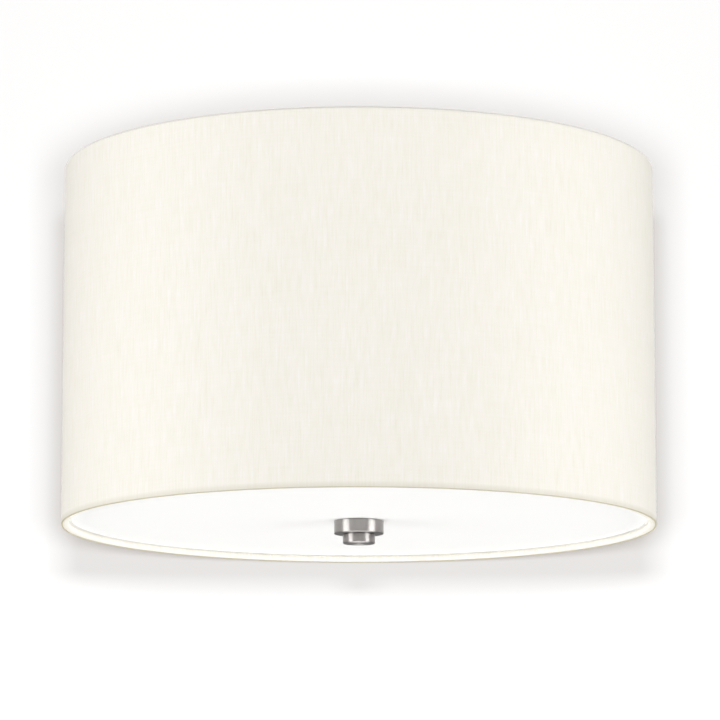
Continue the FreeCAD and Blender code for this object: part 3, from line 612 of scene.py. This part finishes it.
# Finishes by name: what grained() takes. One with no colour has the colour of the settings' zinc.
FINISHES = {
    "zinc_plate": dict(roughness=0.36, metallic=1.0, worn=(0.40, 0.41, 0.39), stretch=(1400, 500, 900),
        mottle=0.7, mottle_scale=45.0, spread=0.2),
    "white_wire": dict(colour=(0.76, 0.755, 0.73), roughness=0.42, worn=(0.66, 0.65, 0.61),
        stretch=(1200, 1200, 1200), depth=0.03 * MM, mottle=0.4),
    "canopy_enamel": dict(colour=(0.80, 0.795, 0.77), roughness=0.48, worn=(0.74, 0.73, 0.70),
        stretch=(1500, 1500, 1500), depth=0.025 * MM, mottle=0.35, mottle_scale=18.0),
    "white_liner": dict(colour=(0.83, 0.82, 0.79), roughness=0.6, worn=(0.79, 0.775, 0.74),
        stretch=(300, 300, 300), depth=0.02 * MM, mottle=0.4, mottle_scale=12.0),
    "green_plate": dict(colour=(0.03, 0.16, 0.055), roughness=0.4, worn=(0.10, 0.2, 0.10), mottle=0.6,
        mottle_scale=300.0),
    "copper_wire": dict(colour=(0.60, 0.27, 0.15), roughness=0.34, metallic=1.0,
        worn=(0.38, 0.16, 0.09), mottle=0.8, mottle_scale=160.0),
    "nylon_bushing": dict(colour=(0.02, 0.02, 0.021), roughness=0.5, worn=(0.045, 0.045, 0.045),
        mottle=0.5, mottle_scale=200.0),
    "moulded_connector": dict(colour=(0.58, 0.13, 0.02), roughness=0.45, worn=(0.40, 0.09, 0.02),
        mottle=0.5, mottle_scale=90.0),
    "black_rubber": dict(colour=(0.012, 0.012, 0.012), roughness=0.75, worn=(0.03, 0.03, 0.03),
        depth=0.06 * MM, mottle=0.6),
    "moulded_phenolic": dict(colour=(0.010, 0.009, 0.008), roughness=0.34, worn=(0.028, 0.024, 0.02),
        stretch=(700, 700, 700), depth=0.03 * MM, mottle=0.5, mottle_scale=60.0),
    "rolled_brass": dict(colour=(0.62, 0.42, 0.14), roughness=0.28, metallic=1.0,
        worn=(0.42, 0.26, 0.09), mottle=0.6, mottle_scale=120.0),
    "black_sleeve": dict(colour=(0.008, 0.008, 0.009), roughness=0.38, worn=(0.02, 0.02, 0.02),
        mottle=0.4, mottle_scale=200.0),
    "white_sleeve": dict(colour=(0.72, 0.72, 0.69), roughness=0.4, worn=(0.62, 0.61, 0.57), mottle=0.4,
        mottle_scale=200.0),
    "lamp_base": dict(colour=(0.62, 0.62, 0.61), roughness=0.3, metallic=1.0, worn=(0.46, 0.46, 0.45),
        mottle=0.5, mottle_scale=150.0),
    "base_glass": dict(colour=(0.012, 0.012, 0.014), roughness=0.15, worn=(0.02, 0.02, 0.03),
        mottle=0.3, mottle_scale=200.0),
    "collar_plastic": dict(colour=(0.82, 0.82, 0.80), roughness=0.36, worn=(0.77, 0.77, 0.74),
        mottle=0.3, mottle_scale=60.0),
    "frosted_plastic": dict(colour=(0.90, 0.89, 0.865), roughness=0.55, worn=(0.87, 0.86, 0.83),
        stretch=(1600, 1600, 1600), depth=0.03 * MM, mottle=0.3, mottle_scale=20.0),
}


def material_for(name):
    """A finish's material, made when it is first asked for."""
    made = bpy.data.materials.get(name)
    if made is not None:
        return made
    finish = {"colour": tuple(bpy.context.scene.metal_settings.zinc), **FINISHES[name]}
    return grained(name, **finish)


def dress(node, material):
    """Give a carried-over node its finish."""
    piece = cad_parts[node]
    piece.data.materials.clear()
    piece.data.materials.append(material)


def stand_for(piece, node, body):
    """Put a made piece in a node's place."""
    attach(piece, body)
    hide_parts(node)


# ------------ drum and diffuser

def quarter_arc(centre, level, radius, side, steps=8):
    """A quarter circle of (radius, height) points from outermost to the one over its middle.
    side is -1 where it goes down and 1 where it goes up."""
    points = []
    for step in range(steps + 1):
        angle = math.pi / 2 * step / steps
        points.append((centre + radius * math.cos(angle), level + side * radius * math.sin(angle)))
    return points


def hem_points(ring_radius, level, outer, inner, side, steps=10):
    """Cloth rolled inwards round a ring: outside first, then back along its inner face.
    side is -1 at the bottom rim and 1 at the top."""
    outside, inside = [], []
    for step in range(steps + 1):
        angle = math.pi * step / steps
        across, rise = math.sin(angle), side * math.cos(angle)
        outside.append((ring_radius - outer * across, level + outer * rise))
        inside.append((ring_radius - inner * across, level + inner * rise))
    return outside, inside


def stiff_edge(radius, level, bottom, settings):
    """The narrow edge of the drum wall, which stands a little below the roll inside it."""
    inner_edge, step_up = radius - settings.edge_width, bottom + settings.edge_drop
    rounding = 0.3 * MM
    points = [(radius, level), (radius, bottom + 1.2 * MM)]
    points += quarter_arc(radius - rounding, bottom + rounding, rounding, -1, steps=4)
    return points + [(inner_edge, bottom), (inner_edge - 0.1 * MM, bottom + 0.1 * MM),
                     (inner_edge - 0.15 * MM, step_up - 0.05 * MM), (inner_edge - 0.25 * MM, step_up)]


def shade_outline(settings):
    """The cloth's closed section, bottom hem, top hem and the wall between them."""
    low, high = shade_extent()
    radius = radius_of("shade_fabric")
    thick, outer = settings.fabric_thickness, settings.hem_radius
    inner = outer - thick
    wire_low, wire_high = extent("bottom_wire_ring")
    ring = radius_of("bottom_wire_ring") - (wire_high.z - wire_low.z) / 2
    wall = radius - thick
    hems = []
    for side, level in ((-1, low.z + outer), (1, high.z - outer)):
        outside, inside = hem_points(ring, level, outer, inner, side)
        corner = quarter_arc(radius - outer, level, outer, side)
        back = quarter_arc(wall - inner, level, inner, side)[::-1]
        if side < 0:
            lift = low.z + settings.edge_drop
            corner = stiff_edge(radius, level, low.z, settings)
            outside = [(across, max(height, lift)) for across, height in outside]
        hems.append(corner + outside + inside[::-1] + back)
    bottom, top = hems
    rows = 36
    heights = [(low.z + outer) + (high.z - low.z - 2 * outer) * row / rows for row in range(1, rows)]
    inner_wall = [(wall, height) for height in heights]
    outer_wall = [(radius, height) for height in heights]
    return bottom + inner_wall + top[::-1] + outer_wall[::-1]


def cloth_mesh(settings, material):
    """The cloth turned round the drum, with its lapped seam raised at the back."""
    outline = shade_outline(settings)
    around, thick = settings.steps_around, settings.fabric_thickness
    radius = radius_of("shade_fabric")
    back = math.pi / 2
    half_seam = settings.seam_width / 2 / radius
    seam_step = 0.35 * thick
    vertices, uvs = [], []
    lengths = [0.0]
    for first, second in zip(outline, outline[1:]):
        lengths.append(lengths[-1] + math.dist(first, second))
    angles = [back + FULL_TURN * step / around for step in range(around + 1)]
    for (across, height), length in zip(outline, lengths):
        on_outside = across > radius - 0.6 * thick
        for angle in angles:
            away = min(angle - back, FULL_TURN - (angle - back))
            lap = 0.0
            if on_outside and away < half_seam:
                lap = -seam_step * (away / half_seam)
            vertices.append(around_axis((0, 0), across + lap, angle, height))
            uvs.append((angle * radius, height if on_outside else length))
    width = len(angles)
    rings = [list(range(first, first + width)) for first in range(0, len(vertices), width)]
    faces = joined_rings(rings + rings[:1], closed=False)
    return add_object("shade_cloth", vertices, faces, material, uvs, math.radians(50))


class CEILINGLIGHT_OT_shade(bpy.types.Operator):
    """Make the cloth of the drum and finish its liner, rings and fitter"""
    bl_idname = "ceilinglight.shade"
    bl_label = "Drum shade"

    def execute(self, context):
        settings = context.scene.shade_settings
        cloth = cloth_mesh(settings, fabric_material(settings))
        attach(cloth, "fixture")
        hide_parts("shade_fabric", "shade_top_hem", "shade_bottom_hem")
        dress("shade_liner", material_for("white_liner"))
        wire = material_for("white_wire")
        nodes = ["top_wire_ring", "bottom_wire_ring", "spider_hub"]
        nodes += [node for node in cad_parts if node.startswith("spider_arm")]
        for node in nodes:
            dress(node, wire)
        return {"FINISHED"}


class CEILINGLIGHT_OT_diffuser(bpy.types.Operator):
    """Finish the opal disc and its washers"""
    bl_idname = "ceilinglight.diffuser"
    bl_label = "Diffuser"

    def execute(self, context):
        dress("diffuser_disc", diffuser_material())
        dress("rubber_washer", material_for("black_rubber"))
        dress("stop_washer", material_for("zinc_plate"))
        return {"FINISHED"}


# ------------ finial and hardware

class CEILINGLIGHT_OT_finial(bpy.types.Operator):
    """Turn the wide flange and the knob under it"""
    bl_idname = "ceilinglight.finial"
    bl_label = "Finial"

    def execute(self, context):
        settings = context.scene.metal_settings
        nickel = nickel_material(settings)
        edge = settings.finial_edge
        low, high = extent("finial_flange")
        wide, hole = radius_of("finial_flange"), radius_of("centre_rod") + 0.6 * MM
        recess = radius_of("rubber_washer") + 0.1 * MM
        floor = extent("rubber_washer")[0].z
        outline = [(hole, low.z), (wide, low.z), (wide, high.z), (recess, high.z), (recess, floor),
                   (hole, floor)]
        flange = lathe("flange_disc", softened(outline, edge, sharp=(2, 3)), nickel, around=160)
        stand_for(flange, "finial_flange", "lowered_diffuser")
        low, high = extent("finial_knob")
        small, bevel = radius_of("finial_knob"), 0.5 * MM
        shoulder, neck = small - 1.2 * MM, high.z - 0.4 * MM
        hole, end = radius_of("centre_rod") + 0.1 * MM, extent("centre_rod")[0].z - 0.1 * MM
        outline = [(0, low.z), (small - bevel, low.z), (small, low.z + bevel), (small, neck),
                   (shoulder, neck), (shoulder, high.z), (hole, high.z), (hole, end), (0, end)]
        knob = lathe("knob_disc", softened(outline, edge), nickel, around=144)
        stand_for(knob, "finial_knob", "finial")
        return {"FINISHED"}


class CEILINGLIGHT_OT_hardware(bpy.types.Operator):
    """Cut the rod's thread and finish the nuts, straps and canopy"""
    bl_idname = "ceilinglight.hardware"
    bl_label = "Rod, nuts, canopy"

    def execute(self, context):
        settings = context.scene.metal_settings
        zinc = material_for("zinc_plate")
        low, high = extent("centre_rod")
        rod = threaded("threaded_rod", radius_of("centre_rod"), settings.thread_depth,
                       settings.thread_pitch, low.z, high.z, zinc, bore=3.2 * MM)
        stand_for(rod, "centre_rod", "fixture")
        for node in ("crossbar", "socket_bracket", "socket_nipples", "hub_lock_washer", "hex_nuts"):
            dress(node, zinc)
        dress("canopy_pan", material_for("canopy_enamel"))
        dress("ground_screw", material_for("green_plate"))
        dress("lead_bushings", material_for("nylon_bushing"))
        return {"FINISHED"}


# ------------ wiring

def ribbed_cap(node, material, ribs, pointing):
    """A twist-on connector: a cone with ribs along it, lying with its mouth to the rod."""
    low, high = extent(node)
    length, wide = high.y - low.y, (high.x - low.x) / 2
    narrow, bore, collar = wide * 0.58, 3.0 * MM, 2.5 * MM
    outline = [(bore, 0), (wide, 0), (wide, collar), (wide * 0.93, collar + 0.5 * MM), (narrow, length),
               (0, length), (0, length / 2), (bore, length / 2)]

    def ripple(across, height, angle):
        """Grooves between the ribs, from just past the collar to just short of the end."""
        if height < 3.2 * MM or across < bore * 1.05 or height > length - 1.5 * MM:
            return 0.0
        return -0.5 * MM * (0.5 + 0.5 * math.cos(ribs * angle)) ** 2

    cap = lathe(f"{node}_cap", softened(outline, 0.8 * MM, 5), material, around=ribs * 8, ripple=ripple)
    start = low.y if pointing > 0 else high.y
    level = (low.z + high.z) / 2
    for vertex in cap.data.vertices:
        across, away, along = vertex.co
        vertex.co = (across, start + pointing * along, level - pointing * away)
    cap.data.update()
    return cap


class CEILINGLIGHT_OT_wiring(bpy.types.Operator):
    """Finish the leads and make the twist-on connectors"""
    bl_idname = "ceilinglight.wiring"
    bl_label = "Leads and connectors"

    def execute(self, context):
        ribs = context.scene.lamp_settings.ribs
        for side in SIDES:
            dress(f"{side}_black_lead", material_for("black_sleeve"))
            dress(f"{side}_white_lead", material_for("white_sleeve"))
        dress("ground_lead", material_for("copper_wire"))
        for node, pointing in (("black_wire_connector", 1), ("white_wire_connector", -1)):
            cap = ribbed_cap(node, material_for("moulded_connector"), ribs, pointing)
            stand_for(cap, node, "fixture")
        return {"FINISHED"}


# ------------ lamp holders and lamps

def socket_body(side, material):
    """A moulded socket with a raised band at its mouth and a stepped shoulder."""
    node = f"{side}_socket"
    low, high = extent(node)
    outer = radius_of(node)
    bore = radius_of(f"{side}_screw_shell")
    floor = extent(f"{side}_screw_shell")[1].z
    hole = radius_of("centre_rod") + 0.05 * MM
    waist, contact_hole, shelf = outer - 1.2 * MM, 2.5 * MM, floor + 4 * MM
    outline = [(bore, low.z), (outer, low.z), (outer, low.z + 5 * MM), (waist, low.z + 6 * MM),
               (waist, high.z - 16 * MM), (outer, high.z - 15 * MM), (outer, high.z - 5 * MM),
               (outer - 3 * MM, high.z), (hole, high.z), (hole, shelf), (contact_hole, shelf),
               (contact_hole, floor), (bore, floor)]

    def ripple(across, height, angle):
        """Fine flutes round the wide upper band."""
        flutes = 36
        if high.z - 14 * MM < height < high.z - 6 * MM and across > outer - 1 * MM:
            return -0.5 * MM * (0.5 + 0.5 * math.cos(flutes * angle))
        return 0.0

    return lathe(f"{side}_socket_moulding", softened(outline, 0.7 * MM), material, around=144,
                 centre=centre_of(node), ripple=ripple)


class CEILINGLIGHT_OT_lamp_holders(bpy.types.Operator):
    """Mould the sockets and finish their shells and contacts"""
    bl_idname = "ceilinglight.lamp_holders"
    bl_label = "Lamp holders"

    def execute(self, context):
        for side in SIDES:
            moulding = socket_body(side, material_for("moulded_phenolic"))
            stand_for(moulding, f"{side}_socket", "fixture")
            dress(f"{side}_screw_shell", material_for("rolled_brass"))
            dress(f"{side}_socket_contact", material_for("rolled_brass"))
        return {"FINISHED"}


def lamp_dome(side, material):
    """The frosted half globe with its short straight skirt."""
    node = f"{side}_lamp_dome"
    low, high = extent(node)
    radius = radius_of(node)
    seat, steps = low.z + radius, 24
    angles = [math.pi / 2 * step / steps for step in range(steps + 1)]
    outline = [(radius * math.sin(angle), seat - radius * math.cos(angle)) for angle in angles]
    outline += [(radius, high.z), (0, high.z)]
    return lathe(f"{side}_frosted_dome", outline, material, around=96, centre=centre_of(node))


def lamp_collar(side, material):
    """The tapered housing, with a shadow groove under the dome and shallow fins."""
    node = f"{side}_lamp_collar"
    low, high = extent(node)
    wide, foot = radius_of(node), 14.0 * MM
    groove, lip = wide - 0.6 * MM, 1.2 * MM
    points = [(0, low.z), (groove, low.z), (groove, low.z + 0.8 * MM), (wide, low.z + lip)]
    steps = 22
    for step in range(1, steps + 1):
        share = step / steps
        eased = share * share * (3 - 2 * share)
        points.append((wide + (foot - wide) * (0.65 * share + 0.35 * eased),
                       low.z + lip + (high.z - low.z - lip) * share))
    points.append((0, high.z))

    def ripple(across, height, angle):
        """Fins up the middle of the taper, which fade towards both ends."""
        start, end, fins = 0.25, 0.8, 24
        share = (height - low.z) / (high.z - low.z)
        if not start < share < end:
            return 0.0
        fade = math.sin(math.pi * (share - start) / (end - start))
        return -0.35 * MM * max(0.0, math.cos(fins * angle)) * fade

    return lathe(f"{side}_collar_housing", points, material, around=192, centre=centre_of(node),
                 ripple=ripple)


class CEILINGLIGHT_OT_lamps(bpy.types.Operator):
    """Make both screw-in lamps"""
    bl_idname = "ceilinglight.lamps"
    bl_label = "Lamps"

    def execute(self, context):
        settings = context.scene.lamp_settings
        for side in SIDES:
            node = f"{side}_lamp_screw_base"
            low, high = extent(node)
            base = threaded(f"{side}_rolled_base", radius_of(node), settings.thread_depth,
                            settings.thread_pitch, low.z, high.z, material_for("lamp_base"),
                            centre=centre_of(node), around=72, rounded=True)
            stand_for(base, node, f"{side}_lamp")
            dome = lamp_dome(side, material_for("frosted_plastic"))
            stand_for(dome, f"{side}_lamp_dome", f"{side}_lamp")
            collar = lamp_collar(side, material_for("collar_plastic"))
            stand_for(collar, f"{side}_lamp_collar", f"{side}_lamp")
            dress(f"{side}_lamp_insulator", material_for("base_glass"))
            dress(f"{side}_lamp_tip_contact", material_for("lamp_base"))
        return {"FINISHED"}


# ------------ stage

def area_light(name, place, target, width, height, power, colour=(1, 1, 1)):
    """A soft box that faces a point."""
    light = bpy.data.lights.new(name, "AREA")
    light.shape = "RECTANGLE"
    light.size, light.size_y = width, height
    light.energy = power
    light.color = colour
    lamp = bpy.data.objects.new(name, light)
    lamp.location = place
    lamp.rotation_euler = (Vector(target) - Vector(place)).to_track_quat("-Z", "Y").to_euler()
    lamp.visible_camera = False
    bpy.context.scene.collection.objects.link(lamp)
    return lamp


# Lights at both sides: kind, angle round from the front, width and power.
SIDE_LIGHTS = (
    ("soft_box", math.radians(83), 1.87, 12.8),
    ("strip", math.radians(63), 1.18, 18.0),
)
SIDE_LIGHT_HEIGHT, SIDE_LIGHT_DROP = 0.7, 0.38

# Other lights: place from the middle of the bottom rim, width, height and power.
WIDE_LIGHTS = (
    ("low_light", (0, -1.6, -1.5), 1.6, 1.6, 2.3),
    ("high_light", (0, -1.8, 1.35), 1.6, 1.6, 22.3),
    ("under_light", (0, 0.2, -1.5), 1.6, 1.6, 16.7),
    ("back_light", (0, 2.2, 0.1225), 1.6, 0.5, 19.0),
)
UNSEEN_IN_METAL = ("left_soft_box", "right_soft_box", "back_light")

# Lights that reach only the backdrop: level from the rim, width, height and power.
BACKDROP_LIGHTS = (
    ("backdrop_light", -0.33, 0.6, 0.305, 833.0),
    ("high_backdrop_light", 0.1, 0.3, 0.117, 420.0),
)
BACKDROP_LIGHT_COLOUR = (0.89, 0.945, 1.0)
INSIDE_LIGHT_POWER = 1.0


def light_round_shade(distance, rim):
    """The lights that reach the whole scene, all turned to the middle of the drum."""
    middle = (0, 0, rim / 2)
    lamps = []
    for side, name in zip((-1, 1), SIDES):
        for kind, turn, wide, power in SIDE_LIGHTS:
            place = (side * math.sin(turn) * distance, -math.cos(turn) * distance, rim - SIDE_LIGHT_DROP)
            lamps.append(area_light(f"{name}_{kind}", place, middle, wide, SIDE_LIGHT_HEIGHT, power))
    for name, (across, away, rise), wide, tall, power in WIDE_LIGHTS:
        lamps.append(area_light(name, (across, away, rim + rise), middle, wide, tall, power))
    for lamp in lamps:
        lamp.visible_glossy = lamp.name not in UNSEEN_IN_METAL


def light_backdrop(distance, rim, backdrop):
    """The lights in line with the camera that whiten the backdrop, all but the shade's shadow on it."""
    receivers = bpy.data.collections.new("backdrop_only")
    receivers.objects.link(backdrop)
    for name, level, wide, tall, power in BACKDROP_LIGHTS:
        place, target = (0, -distance, rim + level), (0, 0.2, rim + level)
        lamp = area_light(name, place, target, wide, tall, power, BACKDROP_LIGHT_COLOUR)
        lamp.light_linking.receiver_collection = receivers


def inside_light(place):
    """A small round light in the middle of the drum, so that its inside isn't black."""
    light = bpy.data.lights.new("inside_light", "POINT")
    light.energy = INSIDE_LIGHT_POWER
    light.shadow_soft_size = 0.03
    lamp = bpy.data.objects.new("inside_light", light)
    lamp.location = place
    lamp.visible_camera = False
    lamp.visible_glossy = False
    bpy.context.scene.collection.objects.link(lamp)


def shown_where(tree, mask, shader, material_output):
    """Show a shader where the mask is 1, and nothing where it is 0."""
    clear = tree.nodes.new("ShaderNodeBsdfTransparent")
    sides = tree.nodes.new("ShaderNodeMixShader")
    for socket, item in zip(sides.inputs, (mask, clear.outputs[0], shader)):
        tree.links.new(item, socket)
    tree.links.new(sides.outputs[0], material_output.inputs["Surface"])


def front_mask(tree):
    """1 on the side that a face looks to, 0 on its back."""
    geometry = tree.nodes.new("ShaderNodeNewGeometry")
    return math_node(tree, "SUBTRACT", 1.0, geometry.outputs["Backfacing"])


def add_backdrop(rim):
    """A sheet behind the shade that only the camera sees: pale grey by itself, and white where its
    own lights reach it. It is clear from behind and to every other ray."""
    material, tree, shader = new_material("white_backdrop", (0.05, 0.05, 0.05), 1.0)
    shader.inputs["Specular IOR Level"].default_value = 0.0
    shader.inputs["Emission Color"].default_value = (0.322, 0.275, 0.234, 1)
    shader.inputs["Emission Strength"].default_value = 1.0
    path = tree.nodes.new("ShaderNodeLightPath")
    shown = math_node(tree, "MULTIPLY", front_mask(tree), path.outputs["Is Camera Ray"])
    shown_where(tree, shown, shader.outputs[0], tree.nodes["Material Output"])
    away = radius_of("shade_fabric") + 12 * MM
    half_width, half_height = 0.9, 0.7
    corners = [(across * half_width, away, rim / 2 + up * half_height) for across, up in SQUARE]
    return add_object("backdrop", corners, [[0, 1, 2, 3]], material)


def white_world(fill):
    """Even light all round; the camera sees plain white."""
    world = bpy.data.worlds.new("studio")
    world.use_nodes = True
    tree = world.node_tree
    background = tree.nodes["Background"]
    path = tree.nodes.new("ShaderNodeLightPath")
    strength = map_range(tree, path.outputs["Is Camera Ray"], 0.0, 1.0, fill, 1.0)
    background.inputs["Color"].default_value = (1, 1, 1, 1)
    tree.links.new(strength, background.inputs["Strength"])
    bpy.context.scene.world = world


def floor_material():
    """Pale and matte, lifted to white for the camera, and clear from underneath."""
    material, tree, shader = new_material("pale_floor", (0.86, 0.86, 0.855), 0.8)
    glow = tree.nodes.new("ShaderNodeEmission")
    path = tree.nodes.new("ShaderNodeLightPath")
    glow.inputs["Color"].default_value = (1, 1, 1, 1)
    lift = math_node(tree, "MULTIPLY", path.outputs["Is Camera Ray"], 0.8)
    tree.links.new(lift, glow.inputs["Strength"])
    lifted = tree.nodes.new("ShaderNodeAddShader")
    tree.links.new(shader.outputs[0], lifted.inputs[0])
    tree.links.new(glow.outputs[0], lifted.inputs[1])
    shown_where(tree, front_mask(tree), lifted.outputs[0], tree.nodes["Material Output"])
    return material


def add_camera(settings, rim):
    """The camera in front of the shade and below it, which looks up a little."""
    data = bpy.data.cameras.new("camera")
    data.lens = settings.lens
    data.sensor_width = 36
    camera = bpy.data.objects.new("camera", data)
    camera.location = (settings.camera_aside, -settings.camera_distance, rim - settings.camera_below_rim)
    camera.rotation_euler = (math.pi / 2 + settings.camera_pitch, 0, 0)
    bpy.context.scene.collection.objects.link(camera)
    bpy.context.scene.camera = camera


class CEILINGLIGHT_OT_stage(bpy.types.Operator):
    """Set the floor, the soft light and the camera"""
    bl_idname = "ceilinglight.stage"
    bl_label = "Stage"

    def execute(self, context):
        settings = context.scene.stage_settings
        rim = shade_extent()[0].z
        half = 6.0
        corners = [(across * half, away * half, -settings.floor_drop) for across, away in SQUARE]
        floor = add_object("floor", corners, [[0, 1, 2, 3]], floor_material())
        backdrop = add_backdrop(rim)
        white_world(settings.fill_light)
        light_round_shade(settings.box_distance, rim)
        inside_light((0, 0, rim * 0.7))
        light_backdrop(settings.camera_distance, rim, backdrop)
        context.scene.view_settings.view_transform = "Standard"
        add_camera(settings, rim)
        return {"FINISHED"}


# ------------ panel and running

OPERATORS = (
    CEILINGLIGHT_OT_shade,
    CEILINGLIGHT_OT_diffuser,
    CEILINGLIGHT_OT_finial,
    CEILINGLIGHT_OT_hardware,
    CEILINGLIGHT_OT_wiring,
    CEILINGLIGHT_OT_lamp_holders,
    CEILINGLIGHT_OT_lamps,
    CEILINGLIGHT_OT_stage,
)


class CEILINGLIGHT_PT_panel(bpy.types.Panel):
    """The ceiling light's sizes and makers"""
    bl_idname = "CEILINGLIGHT_PT_panel"
    bl_label = "Ceiling Light"
    bl_space_type = "VIEW_3D"
    bl_region_type = "UI"
    bl_category = "Ceiling Light"

    def draw(self, context):
        for name, settings in SETTINGS.items():
            box = self.layout.box()
            box.label(text=name.replace("_", " ").capitalize())
            for item in settings.__annotations__:
                box.prop(getattr(context.scene, name), item)
        for operator in OPERATORS:
            self.layout.operator(operator.bl_idname)


def register():
    """Add the settings, operators and panel."""
    for name, settings in SETTINGS.items():
        bpy.utils.register_class(settings)
        setattr(bpy.types.Scene, name, PointerProperty(type=settings))
    for item in (*OPERATORS, CEILINGLIGHT_PT_panel):
        bpy.utils.register_class(item)


def unregister():
    """Take them away again, in the opposite order."""
    for item in (CEILINGLIGHT_PT_panel, *reversed(OPERATORS)):
        bpy.utils.unregister_class(item)
    for name, settings in SETTINGS.items():
        delattr(bpy.types.Scene, name)
        bpy.utils.unregister_class(settings)


def main():
    """Build everything through the operators."""
    register()
    for operator in OPERATORS:
        group, action = operator.bl_idname.split(".")
        getattr(getattr(bpy.ops, group), action)()


if __name__ == "__main__":
    main()
